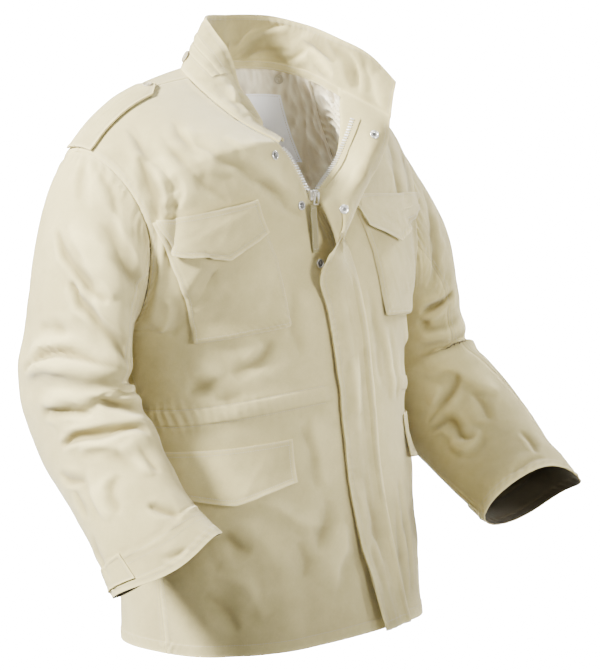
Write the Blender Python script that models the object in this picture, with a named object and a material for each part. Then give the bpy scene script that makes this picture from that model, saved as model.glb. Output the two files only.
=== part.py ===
"""Field jacket, worn open at the neck: every cut piece of cloth is a thin wall of its own.

Metres, +Z up. The front faces -Y and +X is the wearer's left. The origin lies between the
two points where the shoulder seams meet the neck.
"""
import math
from types import SimpleNamespace

import bpy
import numpy as np
from mathutils import Vector
from mathutils.bvhtree import BVHTree

# ---------------------------------------------------------------- cloth and seams
WALL = 0.0018           # shell cloth with its lining
COLLAR_WALL = 0.0026    # two layers and an interlining
TRIM_WALL = 0.0014      # flaps, straps and tabs
LINER_WALL = 0.0012
SEAM_GAP = 0.0003       # clear distance between neighbouring pieces
LAY_GAP = 0.0004        # clear distance under a piece that lies on another

# ---------------------------------------------------------------- how fine the walls are
BODY_ROWS = 10          # rows of a panel from the underarm to the hem
FRONT_COLUMNS = 11
BACK_COLUMNS = 11       # on each side of the centre back, as many as on a front
CAP_ROWS = 4            # rows of a sleeve from the armhole to its first full ring
SLEEVE_ROWS = 13
COLLAR_ROWS = 5

RIGHT, LEFT = -1, 1     # the wearer's sides, as the sign of x


class Table:
    """Rows of named columns, read anywhere between them along a smooth curve."""

    def __init__(self, columns, *rows):
        self.columns = columns.split()
        self.rows = np.array(rows, float)
        self.knots = self.rows[:, 0]
        self.slopes = np.gradient(self.rows, self.knots, axis=0)

    def values(self, at):
        at = min(max(at, self.knots[0]), self.knots[-1])
        i = min(int(np.searchsorted(self.knots, at, side="right")) - 1, len(self.knots) - 2)
        span = self.knots[i + 1] - self.knots[i]
        t = (at - self.knots[i]) / span
        start, end = self.rows[i], self.rows[i + 1]
        return ((2 * t**3 - 3 * t**2 + 1) * start + (3 * t**2 - 2 * t**3) * end
                + span * ((t**3 - 2 * t**2 + t) * self.slopes[i] + (t**3 - t**2) * self.slopes[i + 1]))

    def row(self, at):
        return SimpleNamespace(**dict(zip(self.columns, self.values(at))))

    def place(self, at):
        """The x, y and z columns, which follow the first one."""
        return self.values(at)[1:4]


# ---------------------------------------------------------------- neck and body
# The neck seam, from the right front corner round the nape to the left front corner.
NECK = Table("at x y z",
             (0.00, -0.062, -0.118, -0.079),
             (0.12, -0.092, -0.085, -0.056),
             (0.24, -0.105, -0.040, -0.029),
             (0.36, -0.103, 0.015, 0.000),
             (0.45, -0.078, 0.058, 0.012),
             (0.55, 0.000, 0.084, 0.014),
             (0.65, 0.074, 0.060, 0.011),
             (0.73, 0.096, 0.020, 0.002),
             (0.86, 0.090, -0.060, -0.018),
             (1.00, 0.121, -0.130, -0.054))
NECK_SHOULDER = {RIGHT: 0.36, LEFT: 0.73}   # where the shoulder seams meet it
NECK_NAPE = 0.55
NECK_FRONT = {RIGHT: 0.0, LEFT: 0.86}       # where each front panel's own neck edge ends

# Body sections by height. The hem of the body is turned towards the wearer's left.
BODY = Table("z half_width middle turn",
             (-0.760, 0.207, -0.014, 13),
             (-0.550, 0.219, -0.009, 10),
             (-0.430, 0.218, -0.004, 8),
             (-0.315, 0.226, 0.008, 4),
             (-0.150, 0.232, 0.010, 1),
             (0.020, 0.232, 0.010, 0))
SIDE_HEM = -0.740
SHOULDER_RISE = 0.044   # how far the padded shoulder line arches up
FULLNESS = 0.64         # how squarely a section turns its corners; 0.55 is a plain ellipse

# Front edges from the neck to the hem, as the line of the zip, and the centre back.
ZIP_LINE = Table("at x y z",
                 (0.24, -0.011, -0.122, -0.148),
                 (0.33, 0.026, -0.130, -0.215),
                 (0.44, 0.053, -0.137, -0.305),
                 (0.58, 0.066, -0.141, -0.410),
                 (0.74, 0.074, -0.152, -0.535),
                 (0.88, 0.087, -0.166, -0.640),
                 (1.00, 0.102, -0.178, -0.725))
RIGHT_OPEN = Table("at x y z",
                   (0.14, -0.062, -0.118, -0.079),
                   (0.19, -0.037, -0.117, -0.106),
                   (0.24, -0.015, -0.120, -0.146))
LEFT_OPEN = Table("at x y z",
                  (0.14, 0.090, -0.060, -0.018),
                  (0.17, 0.074, -0.085, -0.062),
                  (0.205, 0.046, -0.105, -0.108),
                  (0.24, -0.006, -0.121, -0.146))
BACK_LINE = Table("at x y z",
                  (0.105, 0.000, 0.084, 0.014),
                  (0.20, 0.000, 0.116, -0.065),
                  (0.34, -0.002, 0.134, -0.175),
                  (0.44, -0.005, 0.136, -0.270),
                  (0.58, -0.012, 0.128, -0.400),
                  (0.74, -0.020, 0.128, -0.530),
                  (0.88, -0.027, 0.137, -0.656),
                  (1.00, -0.032, 0.146, -0.755))
NECK_END = {RIGHT: 0.14, LEFT: 0.14}
NAPE_ROW = 0.105
UNDERARM = 0.42
ZIP_START = 0.24
# Rows down to the underarm: they pass the nape, the front corners of the neck and the slider.
ARM_ROWS = (0, 0.035, 0.07, NAPE_ROW, 0.14, 0.172, 0.206, ZIP_START, 0.285, 0.33, 0.375, UNDERARM)
ZIP_HALF = 0.0048       # from the zip's centre line to each front's edge

# The armholes: upright ovals, drawn in towards the chest and the back.
ARMHOLE = {
    RIGHT: SimpleNamespace(top=-0.088, bottom=-0.318, front=-0.074, back=0.096,
                           x_top=0.272, x_middle=0.238, x_bottom=0.232, set_back=0.020),
    LEFT: SimpleNamespace(top=-0.092, bottom=-0.318, front=-0.072, back=0.096,
                          x_top=0.247, x_middle=0.221, x_bottom=0.226, set_back=0.022),
}

# ---------------------------------------------------------------- sleeves
# Centre line, half widths outwards and forwards, and how far the section is rolled to +X.
SLEEVE = {
    RIGHT: Table("at x y z out fore roll",
                 (0.30, -0.287, 0.008, -0.250, 0.047, 0.086, 0),
                 (0.42, -0.290, 0.012, -0.326, 0.049, 0.096, 0),
                 (0.50, -0.291, 0.020, -0.384, 0.052, 0.101, 0),
                 (0.58, -0.286, 0.002, -0.428, 0.049, 0.091, 8),
                 (0.75, -0.284, -0.058, -0.494, 0.045, 0.076, 25),
                 (0.88, -0.284, -0.108, -0.549, 0.041, 0.070, 36),
                 (1.00, -0.276, -0.148, -0.592, 0.036, 0.079, 43)),
    LEFT: Table("at x y z out fore roll",
                (0.30, 0.280, 0.010, -0.250, 0.043, 0.082, 0),
                (0.42, 0.292, 0.014, -0.330, 0.050, 0.092, 0),
                (0.50, 0.304, 0.018, -0.393, 0.055, 0.095, 0),
                (0.60, 0.308, -0.020, -0.441, 0.056, 0.088, 10),
                (0.75, 0.312, -0.092, -0.495, 0.053, 0.080, 32),
                (0.88, 0.311, -0.152, -0.537, 0.050, 0.074, 50),
                (1.00, 0.310, -0.205, -0.571, 0.046, 0.071, 62)),
}
SLEEVE_START = 0.30
UNDERARM_DROP = 0.16
# Folds across a sleeve: along its length, round from its top, half length, half width, depth.
SLEEVE_FOLDS = {
    RIGHT: ((0.500, 70, 85, 0.020, -0.010), (0.465, 60, 90, 0.018, 0.006),
            (0.585, 110, 60, 0.020, -0.005), (0.660, 120, 60, 0.022, -0.005),
            (0.770, 70, 60, 0.025, -0.004), (0.400, 40, 50, 0.028, -0.005)),
    LEFT: ((0.520, 80, 80, 0.024, -0.007), (0.470, 70, 80, 0.022, 0.004),
           (0.430, 80, 60, 0.024, -0.004), (0.610, 100, 60, 0.024, -0.005),
           (0.900, 60, 60, 0.018, -0.004)),
}
# Hand guards at the cuff: place round from the top, half length round it, reach past the cuff.
HAND_GUARD = {RIGHT: ((95, 38, 0.010), (10, 55, 0.028)), LEFT: ((95, 38, 0.026),)}


# ================================================================ geometry of the shell
def unit(vector):
    return vector / max(np.linalg.norm(vector), 1e-12)


def smoothstep(x):
    x = min(max(x, 0.0), 1.0)
    return x * x * (3 - 2 * x)


def turned(x, y, degrees):
    angle = math.radians(degrees)
    return x * math.cos(angle) - y * math.sin(angle), x * math.sin(angle) + y * math.cos(angle)


def armhole(side, angle):
    """A point of the armhole seam: 0 at the shoulder, 90 in front, 180 under the arm."""
    a = math.radians(angle)
    hole = ARMHOLE[side]
    up, forward = math.cos(a), math.sin(a)
    middle = (hole.front + hole.back) / 2
    half = (hole.back - hole.front) / 2
    x = (hole.x_middle + (hole.x_top - hole.x_middle) * max(up, 0)**1.5
         + (hole.x_bottom - hole.x_middle) * max(-up, 0)**2)
    y = middle - half * math.copysign(abs(forward)**0.85, forward) + hole.set_back * max(up, 0)**2
    z = (hole.top + hole.bottom) / 2 + (hole.top - hole.bottom) / 2 * up
    return np.array([side * x, y, z])


def side_seam(side, down):
    """The side seam, 0 at the underarm and 1 at the hem."""
    def body_side(z):
        section = BODY.row(z)
        x, y = turned(side * section.half_width, 0, section.turn)
        return np.array([x, y + section.middle, z])
    start = armhole(side, 180)
    z = start[2] + (SIDE_HEM - start[2]) * down
    return body_side(z) + (start - body_side(start[2])) * (1 - down)**3


def side_edge(side, face, at):
    """Outer edge of a body panel; face is 1 for a front and -1 for the back."""
    if at <= UNDERARM:
        return armhole(side, face * 180 * at / UNDERARM)
    return side_seam(side, (at - UNDERARM) / (1 - UNDERARM))


def front_edge(side, at):
    """Inner edge of a front: the neck seam, then the open edge, then the zip."""
    end = NECK_END[side]
    if at <= end:
        start = NECK_SHOULDER[side]
        return NECK.place(start + (NECK_FRONT[side] - start) * at / end)
    if at <= ZIP_START:
        return (RIGHT_OPEN if side == RIGHT else LEFT_OPEN).place(at)
    point = ZIP_LINE.place(at)
    return point + np.array([side * ZIP_HALF, 0, 0])


def back_edge(side, at):
    if at <= NAPE_ROW:
        start = NECK_SHOULDER[side]
        return NECK.place(start + (NECK_NAPE - start) * at / NAPE_ROW)
    return BACK_LINE.place(at)


def panel_row(side, face, at, across):
    """Points of one row of a body panel, from its inner edge to its side edge."""
    inner = front_edge(side, at) if face == 1 else back_edge(side, at)
    outer = side_edge(side, face, at)
    turn = BODY.row((inner[2] + outer[2]) / 2).turn
    sideways = np.array([*turned(side, 0, turn), 0])
    forwards = np.array([*turned(0, -face, turn), 0])
    straight = (outer - inner) / 3
    round_in = sideways * abs(np.dot(outer - inner, sideways)) * FULLNESS
    round_out = forwards * abs(np.dot(outer - inner, forwards)) * FULLNESS
    amount = smoothstep(at / (UNDERARM * 0.8))
    handle_in = straight * (1 - amount) + round_in * amount
    handle_out = -straight * (1 - amount) + round_out * amount
    rise = SHOULDER_RISE * (1 - amount)
    handle_in = handle_in + np.array([0, 0, rise * 0.5])
    handle_out = handle_out + np.array([0, 0, rise])
    if face == 1 and side == RIGHT:
        handle_in = handle_in + np.array([0, -1, 0.2]) * right_roll(at)
    t = np.asarray(across)[:, None]
    return ((1 - t)**3 * inner + 3 * (1 - t)**2 * t * (inner + handle_in)
            + 3 * (1 - t) * t**2 * (outer + handle_out) + t**3 * outer)


def right_roll(at):
    """How far the right front swells forward before it turns in to the open zip."""
    return 0.026 * smoothstep((at - 0.04) / 0.10) * (1 - smoothstep((at - 0.20) / 0.12))


def panel_rows():
    return np.concatenate([ARM_ROWS, np.linspace(UNDERARM, 1, BODY_ROWS + 1)[1:]])


# Soft folds of the body: panel, across and down its middle, half sizes, slant, depth.
BODY_FOLDS = (
    (RIGHT, 1, 0.86, 0.20, 0.05, 0.13, 0.25, 0.007),
    (RIGHT, 1, 0.75, 0.16, 0.05, 0.10, 0.40, -0.005),
    (RIGHT, 1, 0.60, 0.72, 0.16, 0.05, 0.0, 0.006),
    (RIGHT, 1, 0.45, 0.90, 0.08, 0.14, 0.05, 0.006),
    (RIGHT, 1, 0.70, 0.90, 0.07, 0.14, 0.00, -0.006),
    (LEFT, 1, 0.86, 0.22, 0.05, 0.13, 0.25, 0.007),
    (LEFT, 1, 0.55, 0.72, 0.16, 0.05, 0.0, 0.006),
    (LEFT, 1, 0.50, 0.88, 0.08, 0.14, 0.0, 0.006),
    (RIGHT, -1, 0.80, 0.30, 0.06, 0.16, 0.20, 0.008),
    (LEFT, -1, 0.80, 0.30, 0.06, 0.16, 0.20, 0.008),
    (RIGHT, -1, 0.45, 0.86, 0.09, 0.16, 0.0, 0.007),
    (LEFT, -1, 0.45, 0.86, 0.09, 0.16, 0.0, 0.007),
)
# The drawcord channel at the waist stands up as a low ridge with pinched edges.
WAIST = SimpleNamespace(at=0.575, half=0.020, raise_=0.004)


def body_relief(side, face, across, at):
    """Height of the folds over a panel's smooth form."""
    across_edge = math.sin(math.pi * across) if face == 1 else math.cos(across * math.pi / 2)
    edge = max(across_edge, 0)**0.6 * smoothstep(at / 0.08)
    height = 0.0
    for fold_side, fold_face, u, v, half_u, half_v, slant, depth in BODY_FOLDS:
        if (fold_side, fold_face) == (side, face):
            dv = at - v
            du = across - u - slant * dv
            height += depth * math.exp(-(du / half_u)**2 - (dv / half_v)**2)
    channel = WAIST.raise_ * math.exp(-((at - WAIST.at) / WAIST.half)**2)
    return edge * (height + channel)


def panel_grid(side, face, rows, columns):
    """Outer points of a body panel with its folds, one row of points for each place down."""
    grid = np.array([panel_row(side, face, at, columns) for at in rows])
    normals = grid_normals(grid, np.array([0, -face, 0]))
    relief = np.array([[body_relief(side, face, u, at) for u in columns] for at in rows])
    return grid + normals * relief[:, :, None]


def grid_normals(grid, outward):
    """Unit normals of a grid of points, turned to the side that 'outward' points to."""
    normals = np.cross(np.gradient(grid, axis=0), np.gradient(grid, axis=1))
    normals /= np.maximum(np.linalg.norm(normals, axis=2, keepdims=True), 1e-12)
    return normals if np.sum(normals @ outward) > 0 else -normals


# ---------------------------------------------------------------- sleeve geometry
def sleeve_frame(side, at):
    """Centre, direction down the arm, outward and forward directions of a sleeve section."""
    table = SLEEVE[side]
    centre = table.place(at)
    step = 0.09
    along = unit(table.place(min(at + step, 1)) - table.place(max(at - step, SLEEVE_START)))
    out = np.array([side, 0.0, 0.0])
    out = unit(out - along * np.dot(out, along))
    fore = np.cross(along, out) * side
    roll = math.radians(table.row(at).roll) * side
    return centre, along, out, fore, roll


def sleeve_point(side, at, angle):
    """A point of the sleeve's rings: angle 0 on the outside, 90 in front, 180 by the body."""
    centre, along, out, fore, roll = sleeve_frame(side, at)
    section = SLEEVE[side].row(at)
    long_axis = fore * math.cos(roll) + out * math.sin(roll)
    short_axis = out * math.cos(roll) - fore * math.sin(roll)
    a = math.radians(angle)
    depth = sum(fold[4] * math.exp(-((at - fold[0]) / fold[3])**2 - (wrap(angle - fold[1]) / fold[2])**2)
                for fold in SLEEVE_FOLDS[side])
    point = (centre + short_axis * (section.out + depth) * math.cos(a)
             + long_axis * (section.fore + depth) * math.sin(a))
    guard = sum(reach * math.exp(-(wrap(angle - middle) / half)**2) for middle, half, reach in HAND_GUARD[side])
    return point + along * guard * smoothstep((at - 0.86) / 0.14)


def wrap(degrees):
    return (degrees + 180) % 360 - 180


def sleeve_cap(side, angle, t):
    """Between the armhole, t = 0, and the first full ring, t = 1."""
    start = armhole(side, angle)
    end = sleeve_point(side, sleeve_start(angle), angle)
    a = math.radians(angle)
    under = max(-math.cos(a), 0)
    outward = unit(np.array([side * (0.62 - 0.06 * math.cos(a)), -0.10 * math.sin(a), 0.35 * under - 0.70]))
    reach = np.linalg.norm(end - start)
    leave = outward * reach * 1.05
    arrive = np.array([side * 0.08, 0, -1.0]) * reach
    return ((2 * t**3 - 3 * t**2 + 1) * start + (t**3 - 2 * t**2 + t) * leave
            + (3 * t**2 - 2 * t**3) * end + (t**3 - t**2) * arrive)


def sleeve_start(angle):
    """Where the cap ends and the rings begin: lower under the arm than on the outside."""
    return SLEEVE_START + UNDERARM_DROP * (1 - math.cos(math.radians(angle))) / 2


def sleeve_grid(side, angles):
    cap = [[sleeve_cap(side, a, t) for a in angles] for t in np.linspace(0, 1, CAP_ROWS + 1)]
    rings = [[sleeve_point(side, sleeve_start(a) + (1 - sleeve_start(a)) * down, a) for a in angles]
             for down in np.linspace(0, 1, SLEEVE_ROWS)[1:]]
    return np.array(cap + rings)


# ================================================================ walls
def shared_normals(grids, facings):
    """Normals at every point, averaged over all panels that meet there."""
    total = {}
    keys = []
    for grid, sign in zip(grids, facings):
        diagonal_a = grid[1:, 1:] - grid[:-1, :-1]
        diagonal_b = grid[1:, :-1] - grid[:-1, 1:]
        faces = np.cross(diagonal_a, diagonal_b) * sign
        faces /= np.maximum(np.linalg.norm(faces, axis=2, keepdims=True), 1e-12)
        grid_keys = [[tuple(np.round(p, 6)) for p in row] for row in grid]
        keys.append(grid_keys)
        for r in range(faces.shape[0]):
            for c in range(faces.shape[1]):
                for key in (grid_keys[r][c], grid_keys[r + 1][c], grid_keys[r][c + 1],
                            grid_keys[r + 1][c + 1]):
                    total[key] = total.get(key, 0) + faces[r, c]
    return [np.array([[unit(total[key]) for key in row] for row in grid_keys]) for grid_keys in keys]


def facing(grid, outward):
    """1 or -1, so that diagonal products of the grid point to the side of 'outward'."""
    faces = np.cross(grid[1:, 1:] - grid[:-1, :-1], grid[1:, :-1] - grid[:-1, 1:])
    if callable(outward):
        directions = outward((grid[1:, 1:] + grid[:-1, :-1]) / 2)
    else:
        directions = np.broadcast_to(outward, faces.shape)
    return 1 if np.sum(faces * directions) > 0 else -1


def drawn_in(grid, edges="top bottom first last", amount=SEAM_GAP / 2):
    """The grid with the named edges moved inwards, which leaves the gap of a seam."""
    result = grid.copy()
    for word, axis, edge, inside in (("top", 0, 0, 1), ("bottom", 0, -1, -2),
                                     ("first", 1, 0, 1), ("last", 1, -1, -2)):
        if word in edges:
            work = np.moveaxis(result, axis, 0)
            source = np.moveaxis(grid, axis, 0)
            step = source[inside] - source[edge]
            seam = np.gradient(source[edge], axis=0)
            seam /= np.maximum(np.linalg.norm(seam, axis=-1, keepdims=True), 1e-9)
            step = step - seam * np.sum(step * seam, axis=-1, keepdims=True)
            length = np.maximum(np.linalg.norm(step, axis=-1, keepdims=True), 1e-9)
            work[edge] += step / length * amount
    return result


def wall(name, outer, inner, material):
    """A closed wall between two grids of points of the same size."""
    return wall_of(name, [(outer, inner)], material)


EDGE_ORDER = np.array([0.37, 0.51, 0.78])   # both pieces at a seam split their edge strips alike


def wall_of(name, patches, material):
    """A closed wall over several patches, joined wherever their outer points fall together."""
    index, outside, inside, tops = {}, [], [], []
    for outer, inner in patches:
        rows, columns = outer.shape[:2]
        number = np.zeros((rows, columns), int)
        for r in range(rows):
            for c in range(columns):
                key = tuple(np.round(outer[r, c], 7))
                if key not in index:
                    index[key] = len(outside)
                    outside.append(outer[r, c])
                    inside.append(inner[r, c])
                number[r, c] = index[key]
        for r in range(rows - 1):
            for c in range(columns - 1):
                a, b, d, e = number[r, c], number[r + 1, c], number[r + 1, c + 1], number[r, c + 1]
                tops += [(a, b, d), (a, d, e)]
    count = len(outside)
    used = {(face[i], face[(i + 1) % 3]) for face in tops for i in range(3)}
    faces = list(tops) + [(a + count, d + count, b + count) for a, b, d in tops]
    for a, b in used:
        if (b, a) not in used:
            if np.dot(outside[a] - outside[b], EDGE_ORDER) > 0:
                faces += [(b, a, a + count), (b, a + count, b + count)]
            else:
                faces += [(b, a, b + count), (a, a + count, b + count)]
    return solid(name, np.array(outside + inside), faces, material)


def solid(name, points, faces, material, collection=None):
    """An object from points and faces, with the faces turned outwards."""
    volume = 0.0
    for face in faces:
        a = points[face[0]]
        for i in range(1, len(face) - 1):
            volume += np.dot(a, np.cross(points[face[i]], points[face[i + 1]]))
    if volume < 0:
        faces = [tuple(reversed(face)) for face in faces]
    mesh = bpy.data.meshes.new(name)
    mesh.from_pydata([tuple(map(float, p)) for p in points], [], [tuple(map(int, f)) for f in faces])
    mesh.shade_smooth()
    mesh.set_sharp_from_angle(angle=math.radians(50))
    mesh.materials.append(material)
    obj = bpy.data.objects.new(name, mesh)
    (collection or PARTS).objects.link(obj)
    return obj


def paint(name, color, roughness, metallic=0.0):
    material = bpy.data.materials.new(name)
    material.use_nodes = True
    shader = material.node_tree.nodes["Principled BSDF"]
    shader.inputs["Base Color"].default_value = (*color, 1)
    shader.inputs["Roughness"].default_value = roughness
    shader.inputs["Metallic"].default_value = metallic
    return material


# ================================================================ the pieces
def build_shell():
    """Fronts, back and sleeves, with the same points along every seam they share."""
    rows = panel_rows()
    front_columns = np.linspace(0, 1, FRONT_COLUMNS)
    half_back = np.linspace(0, 1, BACK_COLUMNS)
    names, grids = [], []

    def radial(points):
        return points * np.array([1, 1, 0])

    for side, word in ((RIGHT, "right"), (LEFT, "left")):
        names += ["front_" + word, "back_half_" + word]
        grids += [panel_grid(side, 1, rows, front_columns), panel_grid(side, -1, rows, half_back)]
    signs = [facing(grid, radial) for grid in grids]

    arm = np.array(ARM_ROWS) * 180 / UNDERARM
    for side, word in ((RIGHT, "right"), (LEFT, "left")):
        seam = len(arm) - 5
        upper = np.concatenate([-arm[seam:0:-1], arm[:seam + 1]])
        under = np.concatenate([arm[seam:], (360 - arm[seam:-1])[::-1]])
        for kind, angles in (("upper", upper), ("under", under)):
            grid = sleeve_grid(side, angles)
            names.append("sleeve_%s_%s" % (kind, word))
            grids.append(grid)
            centre = np.array([sleeve_centre(side, r) for r in range(grid.shape[0])])
            middle = (centre[1:] + centre[:-1])[:, None] / 2
            signs.append(facing(grid, lambda p, m=middle: p - m))
    normals = shared_normals(grids, signs)
    halves = []
    for name, grid, normal in zip(names, grids, normals):
        if name.startswith("back"):
            edges = "top bottom last"
            pair = drawn_in(grid, edges), drawn_in(grid - normal * WALL, edges)
            halves.append(pair if name.endswith("left") else tuple(half[:, ::-1] for half in pair))
        else:
            wall(name, drawn_in(grid), drawn_in(grid - normal * WALL), SHELL)
    wall_of("back", halves, SHELL)
    return {name: Cloth(grid, normal) for name, grid, normal in zip(names, grids, normals)}


def sleeve_centre(side, row):
    """Middle of a sleeve at one of its rows."""
    if row <= CAP_ROWS:
        t = row / CAP_ROWS
        return np.mean([sleeve_cap(side, a, t) for a in (0, 90, 180, 270)], axis=0)
    start = sleeve_start(90)
    at = start + (1 - start) * (row - CAP_ROWS) / (SLEEVE_ROWS - 1)
    return SLEEVE[side].place(at)


class Cloth:
    """A sewn panel as the grid of its outer points, on which smaller pieces are laid."""

    def __init__(self, grid, normals):
        self.grid = grid
        self.normals = normals
        steps = np.linalg.norm(np.diff(grid, axis=1), axis=2)
        self.across = np.concatenate([np.zeros((grid.shape[0], 1)), np.cumsum(steps, axis=1)], axis=1)

    def mix(self, values, row, column):
        """Value of a grid at a place between its rows and columns."""
        rows, columns = values.shape[:2]
        row = min(max(row, 0), rows - 1)
        column = min(max(column, 0), columns - 1)
        r, c = min(int(row), rows - 2), min(int(column), columns - 2)
        u, v = row - r, column - c
        return ((values[r, c] * (1 - v) + values[r, c + 1] * v) * (1 - u)
                + (values[r + 1, c] * (1 - v) + values[r + 1, c + 1] * v) * u)

    def lifted(self, row, column, lift):
        return self.mix(self.grid, row, column) + unit(self.mix(self.normals, row, column)) * lift

    def find(self, across, z):
        """Row and column of the place that lies 'across' along the cloth from the edge, at a height."""
        count = self.grid.shape[1]
        columns = [np.interp(across, self.across[r], np.arange(count)) for r in range(len(self.grid))]
        heights = [self.mix(self.grid[r:r + 1].repeat(2, 0), 0, c)[2] for r, c in enumerate(columns)]
        row = np.interp(-z, -np.array(heights), np.arange(len(heights)))
        return row, np.interp(row, np.arange(len(columns)), columns)

    def laid(self, across, z, lift):
        row, column = self.find(across, z)
        return self.lifted(row, column, lift)


def surface(*grids):
    """A search tree over the facets of one or more grids, turned outwards like their walls."""
    points, faces = [], []
    for grid, normals in grids:
        rows, columns = grid.shape[:2]
        index = np.arange(rows * columns).reshape(rows, columns) + len(points)
        points += [Vector(point) for point in grid.reshape(-1, 3)]
        middle = rows // 2, columns // 2
        here, below, beside = grid[middle], grid[middle[0] - 1, middle[1]], grid[middle[0], middle[1] - 1]
        turn = np.cross(here - below, here - beside) @ normals[middle] > 0
        for r in range(rows - 1):
            for c in range(columns - 1):
                a, b, d, e = index[r, c], index[r + 1, c], index[r + 1, c + 1], index[r, c + 1]
                for face in ((a, b, d), (a, d, e)):
                    faces.append(face if turn else face[::-1])
    return BVHTree.FromPolygons(points, [tuple(map(int, face)) for face in faces])


SETTLE_STEPS = (0.0, 0.25, 0.5, 0.75, 1.0)


def settled(grid, normals, below, gap=LAY_GAP, rounds=6):
    """The grid moved out along its normals wherever its facets come too near what lies below."""
    grid = grid.copy()
    rows, columns = grid.shape[:2]
    for _ in range(rounds):
        push = np.zeros((rows, columns))
        for r in range(rows - 1):
            for c in range(columns - 1):
                a, b, d, e = grid[r, c], grid[r + 1, c], grid[r + 1, c + 1], grid[r, c + 1]
                for u in SETTLE_STEPS:
                    for v in SETTLE_STEPS:
                        point = a + (b - a) * u + (d - b) * v if v <= u else a + (e - a) * v + (d - e) * u
                        near, normal, _, _ = below.find_nearest(Vector(point))
                        lack = gap - (Vector(point) - near).dot(normal)
                        if lack > 0:
                            for i, j in ((r, c), (r + 1, c), (r + 1, c + 1), (r, c + 1)):
                                push[i, j] = max(push[i, j], lack)
        if not push.any():
            break
        grid += normals * push[:, :, None]
    return grid


def plate(name, points, thickness, material, outward, below=None):
    """A wall of even thickness on a grid of its inner points, resting on what lies below it."""
    normals = grid_normals(points, outward)
    if below is not None:
        points = settled(points, normals, below)
    wall(name, points + normals * thickness, points, material)
    return points + normals * thickness, normals


# ---------------------------------------------------------------- collar
COLLAR = Table("at lean curl height",
               (0.00, 78, 30, 0.050),
               (0.12, 68, 50, 0.062),
               (0.24, 52, 75, 0.066),
               (0.30, 42, 80, 0.068),
               (0.36, 32, 40, 0.066),
               (0.45, 22, 10, 0.071),
               (0.55, 18, 4, 0.068),
               (0.65, 10, 2, 0.066),
               (0.73, 5, 0, 0.065),
               (0.86, 0, 0, 0.067),
               (0.95, -6, -8, 0.065),
               (1.00, -16, -14, 0.050))
COLLAR_LIFT = 0.0006    # clear of the panels' top edges


def collar_point(at, up):
    """A point of the collar: 'at' along the neck seam, 'up' from 0 at the seam to 1 at the rim."""
    base = NECK.place(at)
    step = 0.01
    along = unit((NECK.place(min(at + step, 1)) - NECK.place(max(at - step, 0))) * np.array([1, 1, 0]))
    inward = np.array([along[1], -along[0], 0])
    shape = COLLAR.row(at)
    pieces = 8
    point = base + np.array([0, 0, COLLAR_LIFT])
    for i in range(pieces):
        share = min(max(up * pieces - i, 0), 1)
        lean = math.radians(shape.lean + shape.curl * (i + 0.5) / pieces)
        step_out = inward * math.sin(lean) + np.array([0, 0, math.cos(lean)])
        point = point + step_out * shape.height / pieces * share
    return point


def collar_places():
    """Along the neck seam: where the panels' rows meet it, and on along the folded flap."""
    front = np.array([at for at in ARM_ROWS if at <= NECK_END[RIGHT]]) / NECK_END[RIGHT]
    back = np.array([at for at in ARM_ROWS if at <= NAPE_ROW]) / NAPE_ROW
    right, left = NECK_SHOULDER[RIGHT], NECK_SHOULDER[LEFT]
    return np.concatenate([(right * (1 - front))[::-1], right + (NECK_NAPE - right) * back[1:],
                           (left + (NECK_NAPE - left) * back[:-1])[::-1],
                           left + (NECK_FRONT[LEFT] - left) * front[1:],
                           np.linspace(NECK_FRONT[LEFT], 1, FLAP_COLUMNS)[1:]])


def build_collar():
    places = collar_places()
    grid = np.array([[collar_point(at, up) for at in places] for up in np.linspace(0, 1, COLLAR_ROWS)])
    normals = grid_normals(grid, np.array([0, 0, 0]))
    middle = np.array([0.0, 0.0, 0.03])
    if np.sum(normals * (grid - middle)) < 0:
        normals = -normals
    grid = drawn_in(grid)
    wall("collar", grid + normals * COLLAR_WALL, grid, SHELL)
    return Cloth(grid + normals * COLLAR_WALL, normals)


# ---------------------------------------------------------------- storm flap over the zip
FLAP_WIDTH = 0.069
FLAP_SET_BACK = 0.012       # from the left front's edge to the flap's seam
FLAP_CLEAR = 0.0035         # the closed flap rides over the press studs
FLAP_FROM, FLAP_CLOSED = 0.33, 0.43     # it turns from folded back to closed between these
# Free edge where the flap is folded back like a lapel.
FLAP_OPEN = Table("at x y z",
                  (0.14, 0.121, -0.133, -0.058),
                  (0.17, 0.113, -0.134, -0.088),
                  (0.205, 0.082, -0.140, -0.125),
                  (0.24, 0.052, -0.147, -0.156),
                  (0.28, 0.024, -0.155, -0.190),
                  (0.33, -0.012, -0.157, -0.228),
                  (0.38, -0.022, -0.153, -0.265),
                  (0.44, -0.018, -0.149, -0.305))
FLAP_COLUMNS = 6
FLAP_ROWS = np.concatenate([np.linspace(0.14, 0.44, 12), np.linspace(0.44, 1.0, 9)[1:]])


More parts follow.
